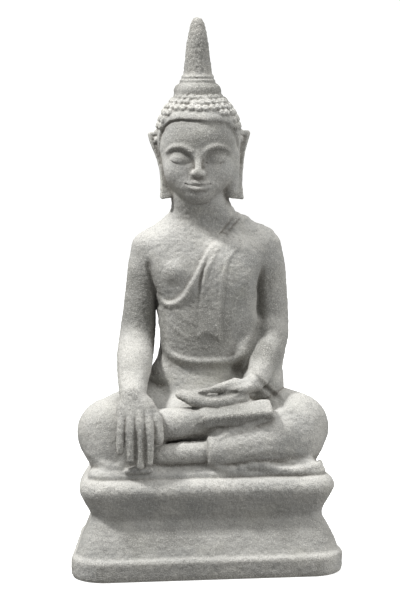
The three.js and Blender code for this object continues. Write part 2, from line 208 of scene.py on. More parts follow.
def ball(field, c, r, k=None, rot=None, cut=False):
    m = max(r) if rot is not None else None
    e = [m] * 3 if m else r
    put(field, lambda P: d_ellipsoid(P, c, r, rot),
        [c[i] - e[i] for i in range(3)], [c[i] + e[i] for i in range(3)], k, cut)


def block(field, c, half, r, k=None, rot=None, cut=False):
    m = math.sqrt(sum(h * h for h in half)) if rot is not None else None
    e = [m] * 3 if m else half
    put(field, lambda P: d_box(P, c, half, r, rot),
        [c[i] - e[i] for i in range(3)], [c[i] + e[i] for i in range(3)], k, cut)


def limb(field, stations, k=None, cut=False, smooth=0, inner=None):
    """Chain of round cones through [x, y, z, radius]."""
    st = curve(stations, smooth) if smooth else np.array(stations, float)
    lo = (st[:, :3] - st[:, 3:4]).min(0)
    hi = (st[:, :3] + st[:, 3:4]).max(0)

    def fn(P):
        d = None
        for a, b in zip(st[:-1], st[1:]):
            e = d_cone(P, a[:3], a[3], b[:3], b[3])
            d = e if d is None else smin(d, e, inner)
        return d

    if len(st) > 6:  # long chains are added a stretch at a time, to keep each window small
        for i in range(0, len(st) - 1, 4):
            limb(field, st[i:i + 5], k, cut, 0, inner)
        return
    put(field, fn, lo, hi, k, cut)


def profile_field(field, table, core, cx=0.0, cy=0.0, k=None, taper=0.0, soft=1.0):
    """Stretched lathe: plan radius r(z) round a core of half sizes core that narrows to the back."""
    zs = np.array([t[1] for t in table])
    rs = np.array([t[0] for t in table])
    z0, z1 = zs.min(), zs.max()
    R = rs.max()
    lo = [cx - core[0] - R, cy - core[1] - R, z0]
    hi = [cx + core[0] + R, cy + core[1] + R, z1]

    def fn(P):
        X, Y, Z = P
        fine = np.linspace(z0, z1, 500)
        rf = np.interp(fine, zs, rs)
        w = max(1, int(soft / ((z1 - z0) / 499)))
        kernel = np.hanning(2 * w + 3)
        kernel /= kernel.sum()
        rf = np.convolve(np.pad(rf, w + 1, mode="edge"), kernel, mode="valid")[:500]
        slope = np.gradient(rf, fine)
        z = np.clip(Z, z0, z1)
        r = np.interp(z, fine, rf).astype(F32)
        c = (1 / np.sqrt(1 + np.interp(z, fine, slope) ** 2)).astype(F32)
        narrowing = F32(taper) * np.clip((Y + F32(core[1])) / F32(2 * max(core[1], 1.0)), 0, 1) * (1 + F32(0.8) * (X < 0) * np.maximum(step(Z, 62, 50) + step(Z, 106.5, 108), np.clip((Y + F32(28)) / F32(max(core[1], 1.0)), 0, 1))).astype(F32)
        qx, qy = np.abs(X - F32(cx)) + narrowing - F32(core[0]), np.abs(Y - F32(cy)) - F32(core[1])
        plan = np.sqrt(np.maximum(qx, 0) ** 2 + np.maximum(qy, 0) ** 2) + np.minimum(np.maximum(qx, qy), 0)
        side = (plan - r) * c
        caps = np.maximum(F32(z0) - Z, Z - F32(z1))
        return np.where((side > 0) & (caps > 0), np.sqrt(side ** 2 + caps ** 2), np.maximum(side, caps)).astype(F32)

    put(field, fn, lo, hi, k)


def loft_field(field, rings, k=None, power=2.2):
    """Loft of upright superellipses from [z, cx, cy, rx, ry]."""
    t = np.array(rings, float)
    fine = np.linspace(t[0, 0], t[-1, 0], 400)
    cols = []
    for j in range(1, 5):
        dense = curve(t[:, [0, j]], 12)
        cols.append(np.interp(fine, dense[:, 0], dense[:, 1]))
    z0, z1 = fine[0], fine[-1]
    lo = [(cols[0] - cols[2]).min(), (cols[1] - cols[3]).min(), z0]
    hi = [(cols[0] + cols[2]).max(), (cols[1] + cols[3]).max(), z1]

    def fn(P):
        X, Y, Z = P
        z = np.clip(Z, z0, z1)
        cx, cy, rx, ry = (np.interp(z, fine, c).astype(F32) for c in cols)
        u, v = np.abs(X - cx) / rx, np.abs(Y - cy) / ry
        pw = F32(power) if np.isscalar(power) else np.interp(z, [q[0] for q in power], [q[1] for q in power]).astype(F32)
        n = (u ** pw + v ** pw) ** (F32(1) / pw)
        g = np.sqrt((u ** 2 / rx ** 2) + (v ** 2 / ry ** 2)) / np.maximum(n, 1e-3)
        side = (n - 1) / np.maximum(g, 1 / np.maximum(rx, ry))
        caps = np.maximum(F32(z0) - Z, Z - F32(z1))
        return np.maximum(side, caps).astype(F32)

    put(field, fn, lo, hi, k)


# ------------------------------------------------------------------ smooth noise
def _hash(i, j, k, seed):
    h = (i * 374761393 + j * 668265263 + k * 2147483647 + seed * 1274126177) & 0xFFFFFFFF
    h = ((h ^ (h >> 13)) * 1103515245) & 0xFFFFFFFF
    h = ((h ^ (h >> 16)) * 2654435761) & 0xFFFFFFFF
    return ((h ^ (h >> 15)) & 0xFFFFFF) / float(0xFFFFFF) * 2 - 1


def noise(p, wavelength, seed):
    """Value noise from -1 to 1 at points p of shape (n, 3)."""
    q = p / wavelength + 1000.0
    i = np.floor(q).astype(np.int64)
    f = q - i
    f = f * f * (3 - 2 * f)
    out = np.zeros(len(p))
    for dx in (0, 1):
        for dy in (0, 1):
            for dz in (0, 1):
                w = (f[:, 0] if dx else 1 - f[:, 0]) * (f[:, 1] if dy else 1 - f[:, 1]) * (f[:, 2] if dz else 1 - f[:, 2])
                out += w * _hash(i[:, 0] + dx, i[:, 1] + dy, i[:, 2] + dz, seed)
    return out


# ------------------------------------------------------------------ front and back stencils
def segment_distance(X, Z, pts):
    """Distance from the X-Z plane's grid to a polyline, and the signed side of the nearest part."""
    best = np.full(np.broadcast(X, Z).shape, 1e9)
    side = np.zeros_like(best)
    along = np.zeros_like(best)
    total = 0.0
    for a, b in zip(pts[:-1], pts[1:]):
        ab = b - a
        l2 = float(ab @ ab)
        px, pz = X - a[0], Z - a[1]
        t = np.clip((px * ab[0] + pz * ab[1]) / l2, 0, 1)
        dx, dz = px - t * ab[0], pz - t * ab[1]
        d = np.sqrt(dx * dx + dz * dz)
        s = ab[0] * pz - ab[1] * px
        near = d < best
        best = np.where(near, d, best)
        side = np.where(near, np.sign(s), side)
        along = np.where(near, total + t * math.sqrt(l2), along)
        total += math.sqrt(l2)
    return best, side, along / total


def inside_polygon(X, Z, pts):
    inside = np.zeros(np.broadcast(X, Z).shape, bool)
    n = len(pts)
    for i in range(n):
        (x0, z0), (x1, z1) = pts[i], pts[(i + 1) % n]
        if z0 == z1:
            continue
        cross = ((z0 > Z) != (z1 > Z)) & (X < (x1 - x0) * (Z - z0) / (z1 - z0) + x0)
        inside ^= cross
    return inside


def polygon_distance(X, Z, pts):
    closed = np.vstack([pts, pts[:1]])
    d, _, _ = segment_distance(X, Z, closed)
    return np.where(inside_polygon(X, Z, pts), -d, d)


def step(x, a, b):
    t = np.clip((x - a) / (b - a), 0, 1)
    return t * t * (3 - 2 * t)


def ridge(d, width):
    t = np.clip(1 - (d / width) ** 2, 0, 1)
    return t * t


# ================================================================== pedestal and slab
B = new_field()
CORE = (112.0, 62.0)
profile_field(B, [(33.5, 0), (35.2, 1.6), (36, 5), (36.2, 14), (36.1, 19), (35.4, 21.4), (33.6, 23.4), (31.6, 24.8), (30.4, 27.5),
                  (27.2, 36), (23.4, 44), (19.6, 51), (16.2, 57), (14.2, 61), (13.6, 64), (13.8, 67),
                  (15.4, 70.6), (18.4, 76.5), (21.8, 82.5), (24.6, 87.4), (26.2, 91.2), (26.8, 94.6), (26.2, 98.0),
                  (24.6, 101.4), (22.2, 104.2), (19.4, 106.4), (16, 108.2), (14, 108.5)], CORE, taper=TAPER, soft=1.0)
profile_field(B, [(15.4, 107.4), (17.0, 108.8), (17.6, 110.2), (16.8, 112.2), (15.2, 114.4), (13.2, 116.3), (10, 117)],
              CORE, taper=TAPER, soft=0.7)

# ================================================================== crossed legs
G = new_field()
ball(G, (0, 26, 160), (88, 54, 48))                              # seat and hips
ball(G, (-2, -14, 156), (74, 48, 35), 12)                        # lap
limb(G, [[-44, 28, 164, 37], [-76, 4, 155.6, 37.2], [-101, -26, 150.4, 37.5]], 14)   # right thigh and knee
limb(G, [[44, 28, 164, 37], [76, 4, 157, 38], [101, -26, 151.5, 38]], 14)      # left thigh and knee
# right shin, over the left one
limb(G, [[-98, -34, 150, 33], [-66, -52, 158, 21], [-34, -57, 163.5, 16.6], [2, -56, 166, 14.5]], 6, smooth=4)
limb(G, [[-70, -84, 150, 2.4], [-40, -82.0, 150.8, 3.0], [-6, -80, 151.5, 3.2], [4, -78, 152, 3.0]], 4.0, cut=True, smooth=3)   # shade under the shin
# left shin inside its robe, with the opening that the foot comes out of
L = new_field()
limb(L, [[98, -34, 149, 34], [62, -54, 142, 26.5], [30, -62.5, 137, 21.0], [8, -66, 134.5, 18.6]], None, smooth=4)
s = window((-40, -100, 100), (140, 20, 200))
P = coords(s)
L[s] = smax(L[s], (F32(-1.6) - P[0] + F32(0.05) * (P[2] - F32(135))) + 0 * P[1], 3.0)
s = window((-60, -104, 100), (150, 30, 200))
G[s] = smin(G[s], L[s], 3.0)
# folds of the robe under the legs, level with the seat slab
s = window((-134, -88, 104), (134, 88, 150))
P = coords(s)
narrowing = np.where(P[0] < 0, F32(20), F32(14)) * np.clip((P[1] + 62) / 124, 0, 1)
qx, qy = np.abs(P[0]) + narrowing - F32(109), np.abs(P[1] + 1.5) - F32(63)
plan = np.sqrt(np.maximum(qx, 0) ** 2 + np.maximum(qy, 0) ** 2) + np.minimum(np.maximum(qx, qy), 0)
rim = np.interp(P[2], [104, 111, 114, 118, 122, 126, 130, 136], [13, 13.2, 12.6, 9.8, 6.4, 2.0, -4, -14]).astype(F32)
skirt = smax((plan - rim) * F32(0.72), P[2] - F32(130) + 0 * P[0] + 0 * P[1], 4.0)
G[s] = smin(G[s], skirt.astype(F32), 5.0)
limb(G, [[-102, -43, 132, 27], [-86, -49, 129, 25], [-64, -54, 128, 21]], 10)       # right knee down to the slab
limb(G, [[103, -43, 136, 25], [84, -48, 132, 22], [60, -56, 130, 18]], 8)
# left foot, coming out of the robe under the right shin
limb(G, [[14, -65, 133.5, 12.5], [-18, -68, 133.5, 12.2], [-42, -69, 132.5, 11.4], [-58, -68, 131, 9.6]], 1.6, smooth=3)
# right foot, sole up on the left shin
block(G, (31, -66.5, 175.2), (38.5, 12.0, 7.2), 3.4, 2.0, rot=(30, -4.2, 0))
ball(G, (-2, -64, 170.5), (13, 12, 10.5), 5.0)
limb(G, [[8, -81, 163.0, 3.2], [30, -81.5, 163.5, 4.4], [56, -79, 166.0, 4.4], [72, -74, 168.0, 3.4]], 3.0, cut=True, smooth=3)
limb(G, [[10, -65, 151, 9], [34, -66, 156.5, 8.4], [58, -63, 162.0, 7.6], [74, -54, 164, 7]], 7.0, smooth=3)      # robe along the left shin, under the foot
say("legs")

s = window((-153, -103, 100), (153, 103, 240))
P = coords(s)
G[s] = smax(G[s], (F32(112.0) - P[2]) + 0 * P[0] + 0 * P[1], None)
B[s] = smin(B[s], G[s], 1.6)
del G, L

# ================================================================== torso and neck
loft_field(B, [
    [186, 2, 18, 53, 40], [204, 2, 18, 49.5, 37.5], [218, 2, 19, 45.5, 35], [226, 2, 20.5, 43.8, 36.5],
    [240, 2, 22, 41.4, 37.5], [260, 2, 24, 41.8, 38], [280, 3, 26, 46.8, 40], [300, 5, 27, 53.5, 42],
    [318, 7, 28, 60, 42], [334, 8, 28, 67, 39], [347, 9, 28, 73, 34], [356, 9, 28, 74, 30],
    [362, 9, 28, 70.5, 27.5], [368, 9, 27.5, 62.5, 26], [374, 8.5, 27, 54, 26], [381, 9.3, 26, 46.5, 27],
    [388, 6.2, 24.5, 37, 28.5], [396, 3.4, 22, 32.6, 30], [408, 1.2, 20, 31.6, 31], [424, 0, 18, 31, 30],
], 7.0, power=[(186, 2.3), (222, 3.1), (290, 3.2), (325, 2.8), (350, 2.3), (424, 2.2)])
ball(B, (-23, 5, 330), (32, 16, 42), 14)         # right breast
ball(B, (-30, -5.0, 324), (12.5, 12, 12), 7)
ball(B, (34, 4, 326), (32, 17, 30), 14)          # left breast, under the robe
ball(B, (36, 7, 284), (28, 20, 60), 14)          # robe hanging over the left side
ball(B, (2, 5, 262), (40, 19.5, 36), 16)         # belly
ball(B, (-29, -29.0, 306), (10.5, 10, 8.5), 6, cut=True)     # hollow under the breast
# robe closing the space between the side and the left arm
limb(B, [[56, 22, 332, 15], [52, 17, 300, 14.5], [52, 14, 272, 15], [51, 12, 246, 15.5], [46, 8, 224, 15]], 9, smooth=3)
limb(B, [[70, 32, 330, 13], [70, 29, 290, 13.5], [66, 25, 252, 14], [58, 18, 222, 15]], 6, smooth=3)
ball(B, (-32, 18, 207), (22, 24, 16), 8)         # hip under the right arm
limb(B, [[58, 12, 262, 12], [56, 3, 246, 12.5], [51, -7, 230, 12]], 12, smooth=3)     # robe drawn over the forearm
say("torso")

# ================================================================== head
HC = np.array([0.0, 18.0, 462.0])
YAW, PITCH, ROLL = -7.5, 3.0, 0.0
hs = window((-64, -48, 384), (64, 84, 532))
X, Y, Z = coords(hs)
R = rotation((PITCH, ROLL, YAW)).T
x0, y0, z0 = X - F32(HC[0]), Y - F32(HC[1]), Z - F32(HC[2])
XL = R[0, 0] * x0 + R[0, 1] * y0 + R[0, 2] * z0 + F32(HC[0])
YL = R[1, 0] * x0 + R[1, 1] * y0 + R[1, 2] * z0 + F32(HC[1])
ZL = R[2, 0] * x0 + R[2, 1] * y0 + R[2, 2] * z0 + F32(HC[2])
HP = (XL.astype(F32), YL.astype(F32), ZL.astype(F32))
H = d_ellipsoid(HP, (0, 17, 464), (43.5, 47, 50))


def h_add(d, k):
    global H
    H = smin(H, d, k)


def h_cut(d, k):
    global H
    H = smax(H, -d, k)


def h_path(points, k, cut=False, steps=4):
    st = curve(points, steps)
    d = None
    for a, b in zip(st[:-1], st[1:]):
        e = d_cone(HP, a[:3], a[3], b[:3], b[3])
        d = e if d is None else np.minimum(d, e)
    (h_cut if cut else h_add)(d, k)


h_add(d_ellipsoid(HP, (0, 7, 432), (36, 35, 32)), 12)            # jaw
h_add(d_ellipsoid(HP, (0, -14.5, 410), (13.5, 12.5, 9.5)), 10)   # chin
for s in (-1, 1):
    h_add(d_ellipsoid(HP, (s * 20, -10, 436), (15, 14, 15)), 11)         # cheek
    h_cut(d_ellipsoid(HP, (s * 18, -38.5, 450.5), (14.5, 9.5, 8.0)), 7)  # eye socket
    h_path([[s * 4.5, -29.0, 453.5, 2.2], [s * 10, -30.0, 459.5, 2.2], [s * 19, -27.6, 463.0, 2.0], [s * 28, -20.5, 461.5, 1.6], [s * 34, -13, 456.5, 1.2]], 5)   # brow
    h_add(d_ellipsoid(HP, (s * 17.5, -18.0, 449.0), (12.5, 10.2, 8.0), (0, s * 3, 0)), 2.6)      # closed lid
    h_path([[s * 7.5, -26.4, 446.0, 0.6], [s * 13, -28.6, 443.9, 0.9], [s * 19, -28.0, 443.3, 0.9], [s * 25, -24.6, 444.6, 0.8], [s * 29.5, -20.4, 447.2, 0.5]], 0.8, cut=True)  # line between the lids
    h_path([[s * 8.0, -27.6, 452.6, 0.4], [s * 14, -28.6, 455.8, 0.7], [s * 21, -26.6, 456.2, 0.7], [s * 28.5, -20.6, 452.6, 0.4]], 1.4, cut=True)  # fold of the upper lid
h_path([[0, -27.5, 457, 2.9], [0, -31.0, 449, 3.1], [0, -34.0, 441, 3.5], [0, -35.4, 436.4, 3.9], [0, -33.8, 433.8, 3.6]], 4.5)      # nose
for s in (-1, 1):
    h_add(d_ellipsoid(HP, (s * 4.4, -30.4, 434.4), (3.0, 4.6, 2.9)), 3.6)     # wing of the nose
    h_cut(d_ellipsoid(HP, (s * 3.0, -33.6, 430.8), (1.5, 2.2, 0.9)), 0.8)     # nostril
h_cut(d_cone(HP, (0, -33.0, 429.0), 0.7, (0, -33.2, 425.8), 1.0), 2.4)          # groove over the lip
h_add(d_ellipsoid(HP, (0, -15.5, 422), (21, 14.2, 12)), 8)                    # round the mouth
h_path([[-13.5, -25.4, 422.6, 0.9], [-7, -29.2, 423.8, 1.7], [-2.4, -30.8, 424.3, 1.9], [0, -30.8, 423.8, 1.8], [2.4, -30.8, 424.3, 1.9], [7, -29.2, 423.8, 1.7], [13.5, -25.4, 422.6, 0.9]], 1.8)
h_path([[-10.5, -27.0, 419.6, 1.2], [-5, -29.6, 418.2, 2.2], [0, -30.4, 417.8, 2.5], [5, -29.6, 418.2, 2.2], [10.5, -27.0, 419.6, 1.2]], 1.8)
h_path([[-15, -25.2, 423.0, 0.5], [-8, -30.6, 421.3, 0.8], [0, -33.0, 420.8, 0.8], [8, -30.6, 421.3, 0.8], [15, -25.2, 423.0, 0.5]], 0.8, cut=True)
h_path([[-8, -28.4, 413.6, 0.7], [0, -29.8, 412.8, 1.2], [8, -28.4, 413.6, 0.7]], 3.5, cut=True)

# hair: a cap that ends in an incised line, higher over the brow and down before the ears
az = np.degrees(np.arctan2(np.abs(XL - F32(HC[0])), -(YL - F32(HC[1]))))          # 0 in front, 180 behind
line = np.interp(az, [0, 30, 48, 60, 70, 77, 84, 100, 118, 150, 180],
                 [490.5, 491.0, 488.5, 482, 471, 458, 446, 438, 424, 414, 412]).astype(F32)
cap = d_ellipsoid(HP, (0.0, 18.5, 468.5), (45.7, 49.8, 53.6))
edge = (ZL - line) * F32(0.92)
cap = smax(cap, -(edge - 0.6), 3.2)
H = smin(H, cap, (F32(1.6) + F32(6.0) * step(XL, -6, 14)).astype(F32))
groove = np.abs(edge + 0.4)
H = H + (0.55 * step(XL, 10, -8) * ridge(groove, 1.4)).astype(F32) * (np.abs(H) < 8)
h_add(d_cone(HP, (37.5, 4.0, 450), 8.0, (36.5, 5.0, 412), 8.0), 7)              # cheek running out to the ear
say("head")

# curls: rows of small knobs round the cap
rng = np.random.default_rng(7)
knobs = []
polar0, pitch_mm = 31.0, 8.5
cr = np.array([46.6, 51.0, 54.0])
cc = np.array([0.0, 18.5, 468.5])
row, polar = 0, polar0
while polar < 150:
    ring_r = math.sin(math.radians(polar)) * 49.0
    n = max(6, int(round(2 * math.pi * ring_r / pitch_mm)))
    for i in range(n):
        a = 2 * math.pi * (i + 0.5 * (row % 2)) / n
        d = np.array([math.sin(math.radians(polar)) * math.sin(a), -math.sin(math.radians(polar)) * math.cos(a),
                      math.cos(math.radians(polar))])
        d = d + rng.normal(0, 0.011, 3)
        p = cc + cr * d / np.linalg.norm(d)
        nrm = d / cr
        nrm /= np.linalg.norm(nrm)
        pa = math.degrees(math.atan2(abs(p[0] - HC[0]), -(p[1] - HC[1])))
        low = np.interp(pa, [0, 30, 48, 60, 70, 77, 84, 100, 118, 150, 180],
                        [490.5, 491.0, 488.5, 482, 471, 458, 446, 438, 424, 414, 412])
        if abs(p[0]) > 38 and p[1] < 14 and p[2] < 479:
            continue                                            # the ears stand here
        band = 8.5 if pa < 60 else 6.0
        if p[2] < low + band:
            continue
        knobs.append((p, nrm, 4.3 + rng.normal(0, 0.32)))
    polar += math.degrees(7.7 / 51.0)
    row += 1
for p, nrm, r in knobs:
    # local (leaning) head frame to world
    w = R.T @ (p - HC) + HC
    nw = R.T @ nrm
    c = w - nw * (r - 3.1)
    k = window(c - r - 4, c + r + 4)
    k = tuple(slice(max(a.start, b.start), min(a.stop, b.stop)) for a, b in zip(k, hs))
    if any(a.stop <= a.start for a in k):
        continue
    rel = tuple(slice(a.start - b.start, a.stop - b.start) for a, b in zip(k, hs))
    Pk = coords(k)
    d = np.sqrt((Pk[0] - F32(c[0])) ** 2 + (Pk[1] - F32(c[1])) ** 2 + (Pk[2] - F32(c[2])) ** 2) - F32(r)
    dimple = np.sqrt((Pk[0] - F32(w[0] + nw[0] * 3.2)) ** 2 + (Pk[1] - F32(w[1] + nw[1] * 3.2)) ** 2
                     + (Pk[2] - F32(w[2] + nw[2] * 3.2)) ** 2) - F32(1.7)
    d = smax(d, -dimple, 1.0)
    H[rel] = smin(H[rel], d, 0.7)
say("curls", len(knobs))

# ears: long flat flanges with a hollow, wider and pointed at the top
EAR_L = np.array([[-34, 474.2], [-46, 475.2], [-54.2, 475.0], [-55.2, 472.6], [-53.6, 466], [-51.4, 459.5], [-48.2, 451.5],
                  [-45.2, 443], [-43.0, 432], [-42.0, 420], [-42.2, 410], [-42.8, 404], [-41.4, 402.0], [-31.5, 403.2],
                  [-30.2, 405.5], [-29.5, 416], [-28, 430], [-28, 450]])
EAR_R = np.array([[34, 476.0], [48, 477.0], [55.4, 477.0], [56.8, 474.4], [55.0, 468], [52.8, 461], [50.6, 453],
                  [48.9, 443], [47.4, 430], [46.9, 418], [47.6, 408], [48.2, 402.8], [46.6, 401.6], [36.2, 402.6],
                  [30.0, 404.5], [28, 416], [28, 430], [28, 450]])
for s, outline in ((-1, EAR_L), (1, EAR_R)):
    d2 = polygon_distance(GX[hs[0]][:, None].astype(float), GZ[hs[2]][None, :].astype(float), outline)[:, None, :].astype(F32)
    zz = Z
    yc = np.interp(zz, [400, 425, 450, 475], [8.5, 11.0, 15.0, 19.0]).astype(F32) + F32(-6.0 if s > 0 else 6.0)     # leans back at the top
    ht = np.interp(zz, [400, 425, 450, 475], [6.2, 5.4, 5.2, 4.6]).astype(F32)
    dy = np.abs(Y - yc - F32(2.0)) - ht
    q = np.sqrt(np.maximum(d2 + 1.6, 0) ** 2 + np.maximum(dy + 1.6, 0) ** 2) + np.minimum(np.maximum(d2 + 1.6, dy + 1.6), 0) - F32(1.6)
    # the hollow inside the rim
    if s < 0:
        hollow = [[-47.5, -1.5, 468.5, 3.4], [-45.8, -1.5, 460, 3.2], [-43.4, -1.2, 450, 2.6], [-41.0, -1.0, 441, 2.0]]
    else:
        hollow = [[49.5, -2.2, 470.0, 3.4], [48.0, -2.2, 461, 3.2], [46.0, -2.0, 451, 2.8], [44.2, -1.8, 442, 2.4]]
    st = curve(hollow, 4)
    for a in st:
        a[1] += np.interp(a[2], [400, 425, 450, 475], [8.5, 11.0, 15.0, 19.0]) + (-6.0 if s > 0 else 6.0) + 2.0 - np.interp(a[2], [400, 425, 450, 475], [6.2, 5.4, 5.2, 4.6])
    hd = None
    for a, b in zip(st[:-1], st[1:]):
        e = d_cone((X, Y, Z), a[:3], a[3], b[:3], b[3])
        hd = e if hd is None else np.minimum(hd, e)
    q = smax(q, -hd, 2.2)
    H = smin(H, q, 2.2)
B[hs] = smin(B[hs], H, 3.0)
del H, XL, YL, ZL, HP, cap, line, az, edge, groove, x0, y0, z0
say("ears")

# crown dome with its rings, and the spire
profile_field(B, [(27.5, 506), (27.0, 511), (26.4, 514), (26.0, 518), (25.9, 521.6), (25.0, 524.4), (23.4, 526.6), (21.4, 528.2), (20.0, 529.2),
                  (19.5, 530.2), (19.8, 531.2), (19.6, 532.2), (18.6, 533.0), (17.4, 533.8), (18.0, 534.7), (18.2, 535.7),
                  (17.4, 537.1), (16.2, 538.6), (15.6, 540),
                  (15.4, 541.5), (15.1, 546), (14.1, 554), (12.9, 564), (11.5, 575), (10.0, 584), (8.4, 591), (6.9, 595.4),
                  (5.0, 598.2), (3.0, 599.5), (0.6, 600.2)], (0.0, 0.0), -0.9, 20.0, k=0.6, soft=0.3)
say("crown")

# ================================================================== right arm, hand on the shin
AR = new_field()
limb(AR, [[-53, 28, 341, 21.5], [-56, 28, 326, 21.5], [-60.8, 28, 302, 19.4], [-64.8, 27, 280, 18.2], [-66.9, 26, 258, 19.5],
          [-69.8, 17, 241, 20.0], [-74.2, -11, 224, 19.2], [-78.8, -41, 207, 16.4], [-80.5, -63, 196, 14.0]], None, smooth=3)
ball(AR, (-80, -73, 181), (19.5, 11.0, 18), 7, rot=(-20, 0, 0))
ball(AR, (-71, -70, 183), (11, 11, 13), 7)                      # ball of the thumb
FINGERS = [
    ([[-92.5, -76, 179, 6.0], [-94.8, -81, 166, 4.9], [-96.0, -84.0, 150, 4.6], [-96.2, -84.5, 140, 3.8]]),
    ([[-84.4, -79, 179, 6.2], [-85.2, -84.5, 166, 5.1], [-85.6, -86.6, 148, 4.9], [-85.2, -86.6, 131.5, 4.1]]),
    ([[-76.0, -80, 179, 6.2], [-75.4, -85.5, 166, 5.1], [-75.0, -87.0, 146, 5.0], [-75.2, -87.0, 124.5, 4.3]]),
    ([[-68.0, -78, 179, 6.2], [-66.0, -84, 166, 5.1], [-65.2, -86.0, 148, 4.9], [-66.0, -86.4, 127.5, 4.2]]),
]
for f in FINGERS:
    limb(AR, f, 1.0, smooth=3)
for x0g, x1g, low in ((-88.8, -90.8, 140), (-80.2, -80.4, 132), (-71.6, -70.4, 129)):      # grooves between the fingers
    limb(AR, [[x0g, -89.5, 174, 1.2], [(x0g + x1g) / 2, -91.0, 162, 2.8], [x1g, -92.0, low, 3.6]], 1.2, cut=True, smooth=3)
limb(AR, [[-67.5, -70, 186, 8.6], [-60.0, -73.5, 175, 7.6], [-55.6, -78.0, 161, 6.2], [-55.0, -80, 150, 4.7]], 3.0, smooth=3)   # thumb
limb(AR, [[-59.8, -88, 176, 1.4], [-60.2, -89.5, 162, 2.6], [-60.4, -90, 146, 3.0]], 1.6, cut=True, smooth=3)

# ================================================================== left arm, hand in the lap
AL = new_field()
limb(AL, [[71, 28, 343, 23.8], [75, 28, 326, 23.6], [80.0, 28, 302, 20.6], [82.2, 26, 280, 19.8], [82.4, 22, 260, 19.6],
          [78, 8, 244, 18.6], [69, -14, 229, 17.4], [60, -33, 215, 14.6], [52, -44, 206.5, 11.6]], None, smooth=3)
limb(AL, [[79, 10, 250, 18.0], [73.5, 4, 232, 17.8], [69.5, -3, 214, 19.6], [67, -8, 196, 23]], 9, smooth=3)   # robe falling to the thigh
ball(AL, (36, -49, 199.5), (22, 15, 9.5), 6, rot=(0, -12, 0))       # palm
limb(AL, [[56, -45, 206, 10.5], [40, -50, 205.2, 8.8], [24, -54, 203.4, 6.0], [8, -58, 200.4, 4.0], [-4, -60.5, 198.4, 3.0], [-8, -61, 197.8, 2.3]], 2.4, smooth=3)          # thumb
limb(AL, [[38, -55, 189.5, 8.6], [12, -60.0, 186.6, 7.6], [-6, -61, 187.4, 7.0], [-20, -59.5, 190.8, 5.4], [-29, -57, 194.2, 3.4], [-32, -56, 195.4, 2.4]], 3.0, smooth=3)      # fingers lying together
limb(AL, [[24, -44, 191, 8.2], [-2, -47, 189.6, 6.8], [-18, -48, 191.5, 5.2]], 4.0, smooth=3)
limb(AL, [[31, -63, 197.4, 2.2], [18, -64, 196.0, 4.0], [4, -65, 194.8, 4.0], [-6, -66, 195.4, 2.4]], 1.2, cut=True, smooth=3)         # hollow between thumb and palm
for n in range(2):
    limb(AL, [[10, -64.0 + 4.4 * n, 197.6 - 0.6 * n, 1.0], [-12, -62.5 + 4.4 * n, 196.8, 1.3], [-30, -59.5 + 4.4 * n, 199.4, 1.2]], 1.0, cut=True, smooth=3)

say("arms")

# ================================================================== one figure
def z_k(pairs):
    return np.interp(GZ, [p[0] for p in pairs], [p[1] for p in pairs]).astype(F32)[None, None, :]


F = smin(B, AR, z_k([(0, 1.2), (190, 1.2), (205, 3), (290, 3.5), (318, 5), (338, 10), (352, 16), (400, 16)]))
F = smin(F, AL, z_k([(0, 1.6), (188, 1.6), (200, 3.0), (212, 7), (240, 8), (262, 6), (300, 5), (322, 7), (340, 12), (352, 16), (400, 16)]))
say("joined")

# ------------------------------------------------------------------ robe relief, drawn in the front plane
X2 = GX[:, None].astype(float)
Z2 = GZ[None, :].astype(float)
EDGE = curve([[60, 400], [46.0, 386.0], [33, 374.5], [21, 362.5], [11.3, 353.6], [5.0, 345.6], [-1.6, 334.5], [-8.0, 322.5],
              [-14.2, 311.5], [-20.4, 301.6], [-27.6, 294.2], [-35.6, 290.6], [-42.4, 292.6], [-47.0, 297.5], [-56, 309], [-80, 340]], 6)
de, side, along = segment_distance(X2, Z2, EDGE)
covered = np.where(side > 0, de, -de)          # positive on the side that the robe covers
# the robe lies below and to the right of its edge
SIGN = 1.0 if covered[np.searchsorted(GX, 30), np.searchsorted(GZ, 300)] > 0 else -1.0
covered = covered * SIGN
robe = 2.0 * step(covered, -1.2, 2.0)
hem_k = step(Z2, 366, 350)
hem = 2.2 * np.where(covered < 2.6, ridge(covered - 2.6, 3.8), ridge(covered - 2.6, 6.4)) * hem_k * step(X2, -47, -41)
front = robe * (0.1 + 0.9 * hem_k) + hem

# folded sash over the left shoulder: a strip with a ridge down its free edge
SASH = np.array([[66, 392], [78, 372], [66.5, 371.5], [55.4, 364.3], [45.3, 356.0], [36.9, 346.7], [29.5, 338.3], [25.4, 325.7],
                 [22.6, 309.3], [20.6, 287.8], [18.8, 268.6], [18.8, 254.4], [20.8, 246.6], [14.8, 249.8], [8.3, 254.6],
                 [3.3, 254.4], [-1.1, 253.4], [-8.0, 249.6], [-4.6, 258.5], [-3.0, 268.0], [-2.8, 281.4], [-2.0, 303.5],
                 [0.7, 320.0], [6.2, 333.2], [13.5, 343.0], [24.0, 357.0], [36.5, 369.0], [47, 379.0], [56, 390]])
ds = polygon_distance(X2, Z2, SASH)
sash_k = np.interp(Z2, [246, 262, 280, 330, 352, 366], [2.4, 1.6, 0.7, 0.7, 0.6, 0.2])
sash = sash_k * step(-ds, -1.4, 2.4)
R_EDGE = curve([[78, 380], [66.0, 371.2], [55.4, 364.3], [45.3, 356.2], [36.9, 346.7], [29.0, 338.3], [24.8, 325.7], [22.0, 309.3],
                [20.0, 287.8], [18.2, 268.6], [18.4, 253.4]], 5)
dr, _, _ = segment_distance(X2, Z2, R_EDGE)
sash = sash + 1.3 * ridge(dr, 3.2) * step(Z2, 378, 366)
